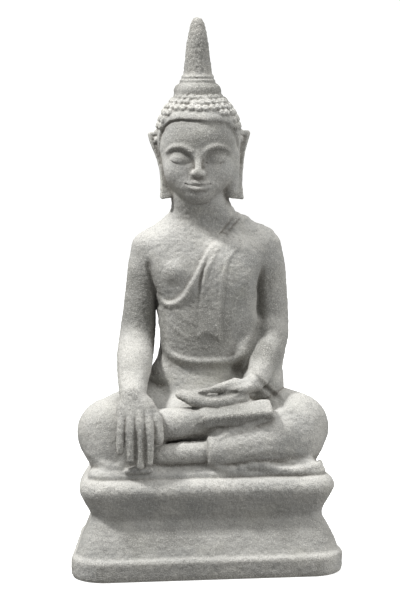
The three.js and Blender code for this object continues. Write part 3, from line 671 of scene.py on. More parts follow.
# second ridge beside the hem, and the crease between them
RIDGE2 = curve([[36, 371], [26, 359.5], [17.3, 348.3], [11.0, 337.1], [5.2, 327.0], [1.0, 314.4], [-0.4, 302]], 5)
d2, _, al2 = segment_distance(X2, Z2, RIDGE2)
front = front + 1.7 * ridge(d2, 3.2) * np.interp(al2, [0, 0.25, 0.4, 0.75, 1.0], [0.0, 0.2, 1.0, 0.9, 0.0])
# two incised lines down from the shoulder line
for pts in ([[48.5, 393], [40.6, 385.2], [32.7, 375.8], [25.2, 366.3], [17.4, 356.0]], [[55, 390], [46.9, 382.0], [37.9, 373.3], [29.1, 364.3], [20.5, 353.5]]):
    dg, _, ag = segment_distance(X2, Z2, curve(pts, 5))
    front = front - 3.3 * ridge(dg, 3.7) * np.interp(ag, [0, 0.08, 0.8, 1.0], [0.0, 1.0, 0.9, 0.1])
CREASE = curve([[34, 380], [22.5, 366.0], [12.0, 352.4], [4.2, 336.2], [-1.4, 320.9], [-3.8, 303.4], [-4.6, 288.2], [-5.2, 270]], 5)
dc, _, alc = segment_distance(X2, Z2, CREASE)
front = front - 2.0 * ridge(dc, 2.8) * np.interp(alc, [0, 0.3, 0.45, 0.7, 1.0], [0.0, 0.3, 1.0, 0.9, 0.0])
# folds fanning down from the shoulder towards the left arm
for pts, depth, width in [
    ([[60, 352], [55, 332], [51, 308], [48, 284], [46, 258]], 0.5, 7.0),
    ([[62, 262], [54, 250], [48, 238], [44, 230]], 0.9, 4.5),
    ([[-30, 282], [-18, 272], [-8, 266]], 0.7, 3.4),
    ([[-38, 270], [-24, 256], [-12, 250]], 0.6, 3.6),
]:
    dd, _, _ = segment_distance(X2, Z2, curve(pts, 5))
    front = front + depth * ridge(dd, width)
front = front + sash
# the roll of cloth at the waist, with the recess below it
BELT = curve([[-50, 254], [-44.5, 245.0], [-39.2, 238.0], [-32.8, 232.2], [-23.2, 228.0], [-9.5, 225.4], [5.7, 225.0], [21, 225.0],
              [31.3, 226.0], [42.3, 230.2], [50.9, 238.0], [58, 250]], 5)
db, _, _ = segment_distance(X2, Z2, BELT)
belt_z = np.interp(GX, BELT[:, 0], BELT[:, 1])[:, None]
under = np.clip(belt_z - Z2, 0, None)
belt_k = np.interp(X2, [-45, -37, -28, 6, 24, 40, 50], [0.0, 1.2, 2.8, 2.8, 1.8, 1.0, 0.1])
front = front + belt_k * ridge(db, 5.4)
front = front - np.interp(X2, [-46, -34, 30, 46], [0.0, 2.6, 2.6, 0.4]) * step(under, 3.0, 9.5)
cloth_fade = step(Z2, 196.0, 206.0)
front = front * cloth_fade
for _ in range(1):      # soften the drawing by less than a millimetre
    front[1:-1] = 0.25 * front[:-2] + 0.5 * front[1:-1] + 0.25 * front[2:]
    front[:, 1:-1] = 0.25 * front[:, :-2] + 0.5 * front[:, 1:-1] + 0.25 * front[:, 2:]

# keep the relief off what lies in front of the torso
s = window((-80, -103, 196), (110, 103, 400))
P = coords(s)
fx, fz = s[0], s[2]
top_y = np.interp(P[2], [345, 365], [12, 24]).astype(F32)
wf = (1 - step(P[1] - top_y, 0.0, 18.0)).astype(F32)
not_left = (1 - step(P[0] - np.interp(P[2], [200, 240, 260, 330, 350, 372], [44, 52, 58, 62, 70, 90]).astype(F32), 0.0, 6.0)).astype(F32)
# creases where the arms lie against the body
crease2 = np.zeros((len(GX), len(GZ)))
for pts, depth, width in [
    ([[-58.5, 340], [-57.0, 334], [-54.2, 321.1], [-50.6, 307.0], [-47.2, 295.5], [-46.2, 285.5]], 2.4, 5.2),
    ([[67.5, 337], [65.6, 327.7], [63.4, 315.0], [63.0, 298.4], [64.6, 279.1], [64.4, 260], [57.5, 240], [48, 225], [40, 213]], 4.0, 11.5),
]:
    dd, _, al = segment_distance(X2, Z2, curve(pts, 5))
    crease2 = crease2 + depth * ridge(dd, width) * step(al, 0.0, 0.22)
F[s] = F[s] + crease2[fx, fz][:, None, :].astype(F32) * wf
body_near = (np.clip((AR[s] - B[s] + 1.5) / 3, 0, 1) * np.clip((AL[s] - B[s] + 1.5) / 3, 0, 1)).astype(F32)
upper = step(P[2], 330, 345).astype(F32)
mask = wf * not_left * np.maximum(body_near, upper * (P[0] > -20))
F[s] = F[s] - front[fx, fz][:, None, :].astype(F32) * mask
# back: the robe wraps round under the right arm and up to the left shoulder, with the sash down the back
wb = step(P[1], 12.0, 34.0).astype(F32)
back = (2.4 * step(covered, -0.6, 1.6) + 1.5 * ridge(covered - 3.0, 3.4)) * step(Z2, 212, 222)
BS = np.array([[86, 380], [60, 392], [44, 386], [30, 366], [16, 338], [10, 300], [8, 262], [8, 228], [44, 226], [46, 262], [50, 300], [58, 338], [70, 364]])
dbs = polygon_distance(X2, Z2, BS)
back = back + 2.6 * step(-dbs, -0.8, 1.6) + 1.2 * ridge(dbs + 2.5, 2.4)
for pts, depth, width in [
    ([[-40, 284], [-20, 262], [4, 246]], 1.2, 4.0),
    ([[-42, 262], [-22, 244], [2, 232]], 1.0, 4.0),
    ([[24, 350], [22, 300], [20, 240]], -0.9, 3.0),
    ([[38, 352], [34, 300], [32, 240]], -0.9, 3.0),
    ([[62, 320], [60, 290], [58, 262]], 1.0, 4.5),
]:
    dd, _, _ = segment_distance(X2, Z2, curve(pts, 5))
    back = back + depth * ridge(dd, width)
dbb, _, _ = segment_distance(X2, Z2, curve([[-60, 232], [-30, 226], [0, 224], [30, 226], [60, 232]], 5))
back = back + (3.0 * ridge(dbb, 5.0) - 2.4 * step(np.clip(224 - Z2, 0, None), 2.0, 8.0) * step(Z2, 200, 206)) * step(X2, -46, -30) * step(X2, 60, 44)
back = back * step(Z2, 384, 358)
F[s] = F[s] - back[fx, fz][:, None, :].astype(F32) * wb * not_left * np.maximum(body_near, upper * (P[0] > -20))
say("robe")

# ------------------------------------------------------------------ legs: hems and folds in the front plane
s = window((-150, -103, 104), (150, 10, 200))
P = coords(s)
fx, fz = s[0], s[2]
legs = np.zeros((len(GX), len(GZ)))
for pts, depth, width in [
    ([[1.5, 150], [1.0, 144], [0.6, 134], [1.2, 122]], 0.9, 4.2),                                   # cuff of the left leg
    ([[8, 150], [24, 157], [44, 163], [70, 171], [96, 178]], 1.2, 4.5),                             # fold along the top of the shin
    ([[16, 126], [40, 133], [70, 136], [100, 131]], 0.8, 6.0),
    ([[-128, 132], [-112, 124], [-96, 121]], 0.8, 5.0),
]:
    dd, _, _ = segment_distance(X2, Z2, curve(pts, 5))
    legs = legs + depth * ridge(dd, width)
body_near = (np.clip((AR[s] - B[s] + 1.0) / 2, 0, 1) * np.clip((AL[s] - B[s] + 1.0) / 2, 0, 1)).astype(F32)
wl = (1 - step(P[1], -40.0, -10.0)).astype(F32)
F[s] = F[s] - legs[fx, fz][:, None, :].astype(F32) * wl * body_near
# the robe's hem lying in waves over the slab's edge
limb(F, [[0, -70, 125, 3.4], [7, -73.0, 121.0, 3.8], [14, -75.2, 118.0, 4.2], [25, -76.2, 115.0, 4.2], [34, -75.8, 116.6, 4.2], [43, -75.0, 119.2, 4.2],
         [54, -75.0, 119.0, 4.2], [66, -75.6, 116.6, 4.2], [80, -76.2, 113.6, 4.2], [93, -76.4, 112.2, 4.2], [106, -75.0, 113.6, 4.0], [117, -70.0, 116.0, 3.4],
         [124, -61.0, 118.5, 2.6]], 3.6, smooth=3)
# a worn lip of cement along the slab, left of the robe
limb(F, [[-64, -80.0, 118, 3.2], [-74, -81.0, 118.4, 4.2], [-88, -79.4, 117.4, 3.2]], 3.0, smooth=3)
s = window((30, -70, 180), (100, 10, 240))
P = coords(s)
# edge of the sleeve over the left wrist
CUFF = curve([[46, 221], [52, 215.6], [59, 209.6], [66, 201.8], [73.5, 194.6], [82, 188.0]], 5)
dcf, scf, _ = segment_distance(X2, Z2, CUFF)
cuff = np.where(scf * 1.0 > 0, dcf, -dcf)
if cuff[np.searchsorted(GX, 75), np.searchsorted(GZ, 215)] < 0:
    cuff = -cuff
relief = (1.3 * step(cuff, -1.5, 2.2) * step(cuff, 16, 6) - 1.3 * ridge(cuff + 2.4, 5.2)) * step(X2, 46, 58) * step(X2, 90, 76)
F[s] = F[s] - relief[s[0], s[2]][:, None, :].astype(F32) * (1 - step(P[1], -12, 4)).astype(F32)
say("hems")

# ================================================================== castings: one label per voxel
PIECES = ["", "plinth_casting", "cornice_casting", "seat_slab_casting", "right_arm_casting", "left_arm_casting",
          "crossed_legs_casting", "torso_casting", "head_casting", "crown_dome_casting", "spire_casting"]
NODE = ["", "pedestal_plinth", "pedestal_cornice", "seat_slab", "right_arm", "left_arm", "crossed_legs", "torso", "head",
        "crown_dome", "spire"]
GR = np.where(GZ[None, None, :] > 300, GX[:, None, None] - F32(X_R_SHOULDER), AR - B).astype(F32)
GL = np.where(GZ[None, None, :] > 300, F32(X_L_SHOULDER) - GX[:, None, None], AL - B).astype(F32)
del AR, AL, B
lab_z = np.select([GZ < Z_WAIST, GZ < Z_RIM, GZ < Z_SEAT, GZ < Z_LAP, GZ < Z_NECK, GZ < Z_CROWN, GZ < Z_SPIRE],
                  [1, 2, 3, 6, 7, 8, 9], 10).astype(np.uint8)
LAB = np.broadcast_to(lab_z[None, None, :], SHAPE).copy()
arm_zone = ((GZ > Z_SEAT) & (GZ < 375))[None, None, :]
LAB[(GR < 0) & arm_zone & (GX[:, None, None] < 0)] = 4
LAB[(GL < 0) & arm_zone & (GX[:, None, None] > -60)] = 5
LAB[F >= 0] = 0
say("labels")

# ================================================================== surface nets that share their vertices
n0, n1, n2 = SHAPE
corner = [LAB[i:n0 - 1 + i, j:n1 - 1 + j, k:n2 - 1 + k] for i in (0, 1) for j in (0, 1) for k in (0, 1)]
mn = corner[0].copy()
mx = corner[0].copy()
for c in corner[1:]:
    np.minimum(mn, c, out=mn)
    np.maximum(mx, c, out=mx)
active = mn != mx
ci, cj, ck = np.nonzero(active)
NV = len(ci)
ids = np.full(active.shape, -1, np.int32)
ids[active] = np.arange(NV, dtype=np.int32)
skin = mn[ci, cj, ck] == 0
del mn, mx, active, corner
pos = np.zeros((NV, 3))
cnt = np.zeros(NV)
Cx, Cy, Cz = GX.astype(float), GY.astype(float), GZ.astype(float)
PLANE = {(1, 2): Z_WAIST, (2, 3): Z_RIM, (3, 6): Z_SEAT, (6, 7): Z_LAP, (7, 8): Z_NECK, (8, 9): Z_CROWN, (9, 10): Z_SPIRE}
for axis_n in range(3):
    for u in (0, 1):
        for v in (0, 1):
            a = [0, 0, 0]
            others = [q for q in range(3) if q != axis_n]
            a[others[0]], a[others[1]] = u, v
            b = list(a)
            b[axis_n] = 1
            ia, ja, ka = ci + a[0], cj + a[1], ck + a[2]
            ib, jb, kb = ci + b[0], cj + b[1], ck + b[2]
            la, lb = LAB[ia, ja, ka], LAB[ib, jb, kb]
            pa = np.stack([Cx[ia], Cy[ja], Cz[ka]], 1)
            pb = np.stack([Cx[ib], Cy[jb], Cz[kb]], 1)
            out = (la == 0) != (lb == 0)
            fa, fb = F[ia, ja, ka].astype(float), F[ib, jb, kb].astype(float)
            t = np.where(out, fa / np.where(fa == fb, 1, fa - fb), 0.5)
            use = skin & out
            inner = (~skin) & (la != lb)
            if inner.any():
                w = np.nonzero(inner)[0]
                A, Bq = la[w], lb[w]
                tt = np.full(len(w), 0.5)
                for (p, q), z in PLANE.items():
                    m = ((A == p) & (Bq == q)) | ((A == q) & (Bq == p))
                    if axis_n == 2 and m.any():
                        za, zb = Cz[ka[w[m]]], Cz[kb[w[m]]]
                        tt[m] = (z - za) / (zb - za)
                for label, g in ((4, GR), (5, GL)):
                    m = (A == label) | (Bq == label)
                    if m.any():
                        ga = g[ia[w[m]], ja[w[m]], ka[w[m]]].astype(float)
                        gb = g[ib[w[m]], jb[w[m]], kb[w[m]]].astype(float)
                        good = (ga * gb) < 0
                        tt[m] = np.where(good, ga / np.where(ga == gb, 1, ga - gb), 0.5)
                t[w] = tt
            t = np.clip(t, 0.02, 0.98)
            use = use | inner
            pos[use] += pa[use] + (pb[use] - pa[use]) * t[use, None]
            cnt[use] += 1
pos /= cnt[:, None]
del GR, GL
say("vertices", NV, "skin", int(skin.sum()))

quads, la_all, lb_all = [], [], []
for axis_n in range(3):
    sl_a = [slice(None)] * 3
    sl_b = [slice(None)] * 3
    sl_a[axis_n], sl_b[axis_n] = slice(0, -1), slice(1, None)
    A, Bq = LAB[tuple(sl_a)], LAB[tuple(sl_b)]
    e = np.array(np.nonzero(A != Bq))
    o1, o2 = [(1, 2), (2, 0), (0, 1)][axis_n]
    ok = (e[o1] > 0) & (e[o2] > 0) & (e[o1] < SHAPE[o1] - 1) & (e[o2] < SHAPE[o2] - 1)
    e = e[:, ok]
    la, lb = A[tuple(e)], Bq[tuple(e)]

    def cell(d1, d2):
        c = e.copy()
        c[o1] += d1
        c[o2] += d2
        return ids[tuple(c)]

    q = np.stack([cell(-1, -1), cell(0, -1), cell(0, 0), cell(-1, 0)], 1)
    quads.append(q)
    la_all.append(la)
    lb_all.append(lb)
quads = np.concatenate(quads)
la_all = np.concatenate(la_all)
lb_all = np.concatenate(lb_all)
del ids, LAB
is_skin = (la_all == 0) | (lb_all == 0)
sq = np.where((la_all == 0)[:, None], quads[:, ::-1], quads)[is_skin]
say("quads", len(quads), "skin", len(sq))


def vertex_normals(p):
    a = p[sq[:, 2]] - p[sq[:, 0]]
    b = p[sq[:, 3]] - p[sq[:, 1]]
    fn = np.cross(a, b)
    out = np.zeros((NV, 3))
    for c in range(4):
        for k in range(3):
            out[:, k] += np.bincount(sq[:, c], fn[:, k], NV)
    return out / np.maximum(np.linalg.norm(out, axis=1, keepdims=True), 1e-12)


# neighbours on the skin, for smoothing and for the map of hollows and ridges
e0 = np.concatenate([sq[:, 0], sq[:, 1], sq[:, 2], sq[:, 3]])
e1 = np.concatenate([sq[:, 1], sq[:, 2], sq[:, 3], sq[:, 0]])
deg = np.maximum(np.bincount(e0, minlength=NV) + np.bincount(e1, minlength=NV), 1)


def relax(p, w):
    out = np.empty_like(p)
    for k in range(p.shape[1]):
        out[:, k] = (np.bincount(e0, p[e1, k], NV) + np.bincount(e1, p[e0, k], NV)) / deg
    return np.where(skin[:, None], p + w * (out - p), p)


pos = relax(pos, 0.5)
pos = relax(pos, -0.45)
normal = vertex_normals(pos)
# hollows and ridges at two sizes
p1 = pos
for _ in range(3):
    p1 = relax(p1, 0.7)
small = ((pos - p1) * normal).sum(1)
for _ in range(14):
    p1 = relax(p1, 0.9)
mid = ((pos - p1) * normal).sum(1)
for _ in range(45):
    p1 = relax(p1, 0.95)
large = ((pos - p1) * normal).sum(1)


def sample(f, p):
    """Field value at points, by the nearest grid node."""
    i = np.clip(np.searchsorted(GX, p[:, 0]), 1, n0 - 1)
    j = np.clip(np.searchsorted(GY, p[:, 1]), 1, n1 - 1)
    k = np.clip(np.searchsorted(GZ, p[:, 2]), 1, n2 - 1)
    return f[i, j, k]


# how far each skin point is closed in by the figure round it; the stone colour darkens by it as painted shade
occ = np.zeros(NV)
for dist, w in ((4.0, 0.35), (8.0, 0.35), (14.0, 0.3)):
    q = pos + normal * dist
    occ += w * np.clip((dist - np.minimum(sample(F, q), dist)) / dist, 0, 1)
say("hollows")

# coarse grain of the casting in the mesh itself
rough = (0.34 * noise(pos, 34.0, 1) + 0.13 * noise(pos, 13.0, 2) + 0.13 * noise(pos, 6.4, 3)
         + 0.26 * noise(pos, 3.3, 4) + 0.30 * noise(pos, 2.2, 5))
# dark patches: partly old patina where damp has darkened the cement, partly painted shade where shadow falls, as down
# the torso's side beside the right arm
patina_and_shade_map = np.zeros(NV)
for centre, radii, amount in (((-69, 5, 290), (34, 70, 50), 0.90), ((-78, -25, 222), (30, 60, 34), 0.46), ((-100, -50, 154), (60, 60, 36), 0.45),
                              ((80, 0, 284), (36, 60, 58), 0.75), ((104, -50, 150), (60, 60, 40), 0.25), ((0, -16, 266), (44, 40, 50), 0.95), ((0, 20, 522), (44, 44, 15), 1.0),
                              ((2, -18, 476), (46, 36, 18), 0.62), ((-20, 0, 394), (18, 34, 14), 0.50), ((30, -72, 175), (52, 28, 14), 0.85),
                              ((4, -60, 196), (52, 26, 16), 0.70), ((-80, -70, 192), (26, 26, 24), 0.45), ((62, -30, 222), (26, 30, 20), 0.35), ((0, 0, 44), (210, 150, 26), 0.85),
                              ((0, 20, 572), (30, 30, 42), 0.90), ((0, -22, 462), (44, 30, 18), 0.95), ((10, -70, 144), (70, 30, 16), 0.25),
                              ((59, -18, 252), (22, 50, 32), 1.0), ((80, -22, 242), (26, 44, 26), 0.75), ((-45, -8, 266), (7, 32, 44), 1.0)):
    d2s = sum(((pos[:, i] - centre[i]) / radii[i]) ** 2 for i in range(3))
    patina_and_shade_map = np.maximum(patina_and_shade_map, amount * np.exp(-d2s ** 1.5))
patina_and_shade_map = np.clip(patina_and_shade_map * (1.0 + 0.45 * noise(pos, 21.0, 8) + 0.25 * noise(pos, 8.0, 9)), 0, 1)
grit = noise(pos, 2.7, 6)
rough = rough - 0.42 * np.clip(-grit - 0.45, 0, 1) / 0.55 + 0.24 * np.clip(grit - 0.5, 0, 1) / 0.5
head_part = np.clip((pos[:, 2] - 392) / 8, 0, 1) * np.clip((512 - pos[:, 2]) / 8, 0, 1)
spire_part = np.clip((pos[:, 2] - 536) / 4, 0, 1)
amp = 1.0 - 0.35 * head_part + 0.45 * spire_part
amp = np.where(pos[:, 2] < 1.2, 0.0, amp)
angle = np.arctan2(pos[:, 1] - 20, pos[:, 0])
flute = 0.35 * np.cos(angle * 16) * np.clip((565 - pos[:, 2]) / 20, 0, 1) * spire_part * (0.5 + 0.5 * np.cos(angle + 0.5))
pos = pos + normal * ((rough * amp + flute) * skin)[:, None]
pos[:, 2] = np.maximum(pos[:, 2], 0.0)
normal = vertex_normals(pos)
del F
say("grain")

# ================================================================== pieces
made = {}
for label in range(1, len(PIECES)):
    fa = la_all == label
    fb = lb_all == label
    q = np.concatenate([quads[fa], quads[fb][:, ::-1]])
    outer = np.concatenate([lb_all[fa] == 0, la_all[fb] == 0])
    used, inv = np.unique(q, return_inverse=True)
    inv = inv.reshape(q.shape)
    pts = pos[used].copy()
    inner_v = ~skin[used]
    # room for the mortar beds between the castings, closed at the skin
    if label in (1, 2, 3):
        for plane in (Z_WAIST, Z_RIM):
            on = inner_v & (np.abs(pts[:, 2] - plane) < 0.05)
            if plane == Z_WAIST and label in (1, 2):
                pts[on, 2] += (-1 if label == 1 else 1) * (BED / 2 + 0.15)
            if plane == Z_RIM and label in (2, 3):
                pts[on, 2] += (-1 if label == 2 else 1) * (BED / 2 + 0.15)
    me = bpy.data.meshes.new(PIECES[label])
    me.vertices.add(len(pts))
    me.vertices.foreach_set("co", (pts * 0.001).astype(F32).ravel())
    me.loops.add(q.size)
    me.loops.foreach_set("vertex_index", inv.astype(np.int32).ravel())
    me.polygons.add(len(q))
    me.polygons.foreach_set("loop_start", np.arange(0, q.size, 4, dtype=np.int32))
    me.polygons.foreach_set("loop_total", np.full(len(q), 4, np.int32))
    me.update(calc_edges=True)
    me.validate()
    me.polygons.foreach_set("use_smooth", np.ones(len(q), bool))
    # skin corners take the whole figure's normals, so a flush joint doesn't show
    a = pts[inv[:, 2]] - pts[inv[:, 0]]
    b = pts[inv[:, 3]] - pts[inv[:, 1]]
    fn = np.cross(a, b)
    fn /= np.maximum(np.linalg.norm(fn, axis=1, keepdims=True), 1e-12)
    ln = np.where(outer[:, None, None], normal[q], fn[:, None, :])
    me.normals_split_custom_set(ln.reshape(-1, 3).astype(F32))
    wear_and_painted_light = 1 - 0.75 * np.exp(-((pos[used][:, 0] + 40) / 100) ** 4 - ((pos[used][:, 1] + 84) / 26) ** 4 - ((pos[used][:, 2] - 114) / 7) ** 4)      # hollow shade and ridge marks weakened in front of the legs, a painted light on the slab there
    for name, values in (("hollow_small", small), ("hollow_mid", mid), ("hollow_large", large), ("painted_occlusion_shade", occ), ("patina_and_painted_shade", patina_and_shade_map)):
        at = me.attributes.new(name, "FLOAT", "POINT")
        at.data.foreach_set("value", (values[used] * (1 if name == "patina_and_painted_shade" else wear_and_painted_light)).astype(F32))
    ob = bpy.data.objects.new(PIECES[label], me)
    bpy.context.scene.collection.objects.link(ob)
    made[PIECES[label]] = ob
    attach(ob, "root")
    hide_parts(NODE[label])
    say(PIECES[label], len(q) * 2, "triangles")

# ================================================================== materials
def stone_material(name, pale, grey, dark, sandy, tint_amount=0.10, dust_and_top_light_amount=1.0, contrast=1.0):
    m = bpy.data.materials.new(name)
    m.use_nodes = True
    nt = m.node_tree
    N = nt.nodes
    for n in list(N):
        N.remove(n)
    link = nt.links.new

    def node(kind, **kw):
        n = N.new(kind)
        for k, v in kw.items():
            setattr(n, k, v)
        return n

    def math_node(op, a, b=None, clamp=False):
        n = node("ShaderNodeMath", operation=op, use_clamp=clamp)
        for i, v in enumerate((a, b)):
            if v is None:
                continue
            if isinstance(v, (int, float)):
                n.inputs[i].default_value = v
            else:
                link(v, n.inputs[i])
        return n.outputs[0]

    def ramp(value, lo, hi, a=0.0, b=1.0):
        n = node("ShaderNodeMapRange", interpolation_type="SMOOTHSTEP")
        link(value, n.inputs["Value"])
        n.inputs["From Min"].default_value = lo
        n.inputs["From Max"].default_value = hi
        n.inputs["To Min"].default_value = a
        n.inputs["To Max"].default_value = b
        return n.outputs["Result"]

    def mix(fac, a, b, blend="MIX"):
        n = node("ShaderNodeMix", data_type="RGBA", blend_type=blend)
        n.clamp_factor = True
        if isinstance(fac, (int, float)):
            n.inputs[0].default_value = fac
        else:
            link(fac, n.inputs[0])
        for i, v in ((6, a), (7, b)):
            if isinstance(v, tuple):
                n.inputs[i].default_value = (*v, 1)
            else:
                link(v, n.inputs[i])
        return n.outputs[2]

    def noise_node(scale, detail=2.0, rough=0.5, offset=0.0, kind="FBM"):
        tc = tex_coord
        if offset:
            mp = node("ShaderNodeMapping")
            mp.inputs["Location"].default_value = (offset, offset * 1.7, -offset)
            link(tc, mp.inputs["Vector"])
            tc = mp.outputs["Vector"]
        n = node("ShaderNodeTexNoise")
        n.inputs["Scale"].default_value = scale
        n.inputs["Detail"].default_value = detail
        n.inputs["Roughness"].default_value = rough
        link(tc, n.inputs["Vector"])
        return n.outputs["Fac"]

    def attr(name_):
        return node("ShaderNodeAttribute", attribute_name=name_).outputs["Fac"]

    tex_coord = node("ShaderNodeTexCoord").outputs["Object"]
    small_a, mid_a, large_a, painted_occlusion_shade = attr("hollow_small"), attr("hollow_mid"), attr("hollow_large"), attr("painted_occlusion_shade")

    # cool and warm clouds over the casting
    cloud = noise_node(14.0, 3.0, 0.55)
    base = mix(ramp(cloud, 0.36, 0.64), grey, pale)
    patch = noise_node(46.0, 3.0, 0.6, 3.1)
    base = mix(math_node("MULTIPLY", ramp(patch, 0.42, 0.66), 0.45), base, sandy)
    tint = noise_node(22.0, 2.0, 0.5, 7.7)
    base = mix(math_node("MULTIPLY", ramp(tint, 0.55, 0.74), tint_amount), base, (0.50, 0.50, 0.33))
    # wash left in the hollows, darkened further by painted shade where the figure closes in round the surface
    wash_noise = noise_node(160.0, 3.0, 0.6, 1.3)
    hollow = math_node("ADD", ramp(mid_a, -0.05, -0.9), ramp(large_a, -0.4, -4.5, 0.0, 0.7))
    hollow = math_node("ADD", hollow, ramp(painted_occlusion_shade, 0.10, 0.75, 0.0, 0.9))
    hollow = math_node("MULTIPLY", hollow, ramp(wash_noise, 0.25, 0.6, 0.55, 1.0), clamp=True)
    base = mix(math_node("MULTIPLY", hollow, 0.75 * contrast), base, dark)
    # dry brushing on the ridges
    brush_noise = noise_node(300.0, 4.0, 0.7, 5.5)
    high = math_node("ADD", ramp(mid_a, 0.15, 1.2), ramp(large_a, 1.2, 6.0, 0.0, 0.35))
    high = math_node("MULTIPLY", high, ramp(brush_noise, 0.35, 0.6), clamp=True)
    base = mix(math_node("MULTIPLY", high, 0.6 * dust_and_top_light_amount), base, sandy)
    # pale dust settled on what faces up, which is also painted top light; painted shade on what faces down, under the
    # ledges
    up = node("ShaderNodeSeparateXYZ")
    link(node("ShaderNodeNewGeometry").outputs["Normal"], up.inputs[0])
    # paler where the surface faces up: settled dust and painted top light
    settled_dust_and_top_light = math_node("MULTIPLY", ramp(up.outputs["Z"], 0.05, 0.85), ramp(patch, 0.30, 0.62, 0.75, 1.0))
    base = mix(math_node("MULTIPLY", settled_dust_and_top_light, 0.55 * dust_and_top_light_amount), base, (0.69, 0.68, 0.642))
    # painted shade: darker on what faces down
    base = mix(ramp(up.outputs["Z"], -0.10, -0.75, 0.0, 0.35), base, dark)
    # dark patina from the per-vertex patch map, which also carries painted shade where shadow falls
    base = mix(math_node("MULTIPLY", attr("patina_and_painted_shade"), 0.85), base, (0.215, 0.213, 0.197))
    # sand grains: light and dark specks, coarser where the casting is worn
    wear_and_painted_light = ramp(large_a, -1.0, 3.0, 0.55, 1.15)
    vor = node("ShaderNodeTexVoronoi", feature="F1")
    vor.inputs["Scale"].default_value = 720.0
    vor.inputs["Randomness"].default_value = 1.0
    link(tex_coord, vor.inputs["Vector"])
    sep = node("ShaderNodeSeparateColor")
    link(vor.outputs["Color"], sep.inputs["Color"])
    core = ramp(vor.outputs["Distance"], 0.55, 0.15)
    grain_fine = noise_node(900.0, 2.0, 0.6, 2.2)
    darks = math_node("MULTIPLY", ramp(sep.outputs["Red"], 0.70, 0.95), core)
    lights = math_node("MULTIPLY", ramp(sep.outputs["Green"], 0.62, 0.92), core)
    base = mix(math_node("MULTIPLY", math_node("MULTIPLY", darks, wear_and_painted_light), 0.72 * contrast, clamp=True), base, (0.13, 0.12, 0.10))
    base = mix(math_node("MULTIPLY", math_node("MULTIPLY", lights, wear_and_painted_light), 0.70, clamp=True), base, (0.80, 0.78, 0.72))
    base = mix(math_node("MULTIPLY", ramp(grain_fine, 0.5, 0.34), math_node("MULTIPLY", wear_and_painted_light, 0.50)), base, dark)
    base = mix(math_node("MULTIPLY", ramp(grain_fine, 0.53, 0.68), math_node("MULTIPLY", wear_and_painted_light, 0.45)), base, (0.74, 0.72, 0.66))

    bsdf = node("ShaderNodeBsdfPrincipled")
    link(base, bsdf.inputs["Base Color"])
    rough_v = ramp(grain_fine, 0.3, 0.7, 0.86, 0.99)
    link(rough_v, bsdf.inputs["Roughness"])
    bsdf.inputs["Specular IOR Level"].default_value = 0.22

    height = math_node("ADD", math_node("MULTIPLY", noise_node(520.0, 3.0, 0.65, 4.4), 0.7),
                       math_node("MULTIPLY", ramp(vor.outputs["Distance"], 0.6, 0.0), 0.35))
    bump = node("ShaderNodeBump")
    bump.inputs["Distance"].default_value = 0.0012
    link(ramp(large_a, -1.0, 3.0, 0.45, 0.95), bump.inputs["Strength"])
    link(height, bump.inputs["Height"])
    link(bump.outputs["Normal"], bsdf.inputs["Normal"])
    out = node("ShaderNodeOutputMaterial")
    link(bsdf.outputs["BSDF"], out.inputs["Surface"])
    return m


PALE, GREY, DARK, SANDY = (0.47, 0.465, 0.442), (0.335, 0.337, 0.325), (0.165, 0.152, 0.132), (0.60, 0.588, 0.54)
body_stone = stone_material("cast_stone_body", PALE, GREY, DARK, SANDY)
head_stone = stone_material("cast_stone_upper", PALE, GREY, DARK, SANDY, tint_amount=0.14)
spire_stone = stone_material("cast_stone_spire", (0.46, 0.45, 0.42), (0.30, 0.30, 0.29), (0.15, 0.14, 0.125), (0.56, 0.54, 0.48), contrast=1.25, dust_and_top_light_amount=0.8)
for name, ob in made.items():
    ob.data.materials.append({"head_casting": head_stone, "crown_dome_casting": head_stone, "spire_casting": spire_stone}.get(name, body_stone))


def mortar_material():
    m = bpy.data.materials.new("sand_mortar")
    m.use_nodes = True
    nt = m.node_tree
    b = nt.nodes["Principled BSDF"]
    tc = nt.nodes.new("ShaderNodeTexCoord")
    n = nt.nodes.new("ShaderNodeTexNoise")
    n.inputs["Scale"].default_value = 420.0
    n.inputs["Detail"].default_value = 3.0
    r = nt.nodes.new("ShaderNodeValToRGB")
    r.color_ramp.elements[0].position, r.color_ramp.elements[0].color = 0.35, (0.24, 0.23, 0.21, 1)
    r.color_ramp.elements[1].position, r.color_ramp.elements[1].color = 0.68, (0.50, 0.49, 0.46, 1)
    bp = nt.nodes.new("ShaderNodeBump")
    bp.inputs["Strength"].default_value = 0.5
    bp.inputs["Distance"].default_value = 0.0008
    nt.links.new(tc.outputs["Object"], n.inputs["Vector"])
    nt.links.new(n.outputs["Fac"], r.inputs["Fac"])
    nt.links.new(r.outputs["Color"], b.inputs["Base Color"])
    nt.links.new(n.outputs["Fac"], bp.inputs["Height"])
    nt.links.new(bp.outputs["Normal"], b.inputs["Normal"])
    b.inputs["Roughness"].default_value = 0.95
    b.inputs["Specular IOR Level"].default_value = 0.2
    return m


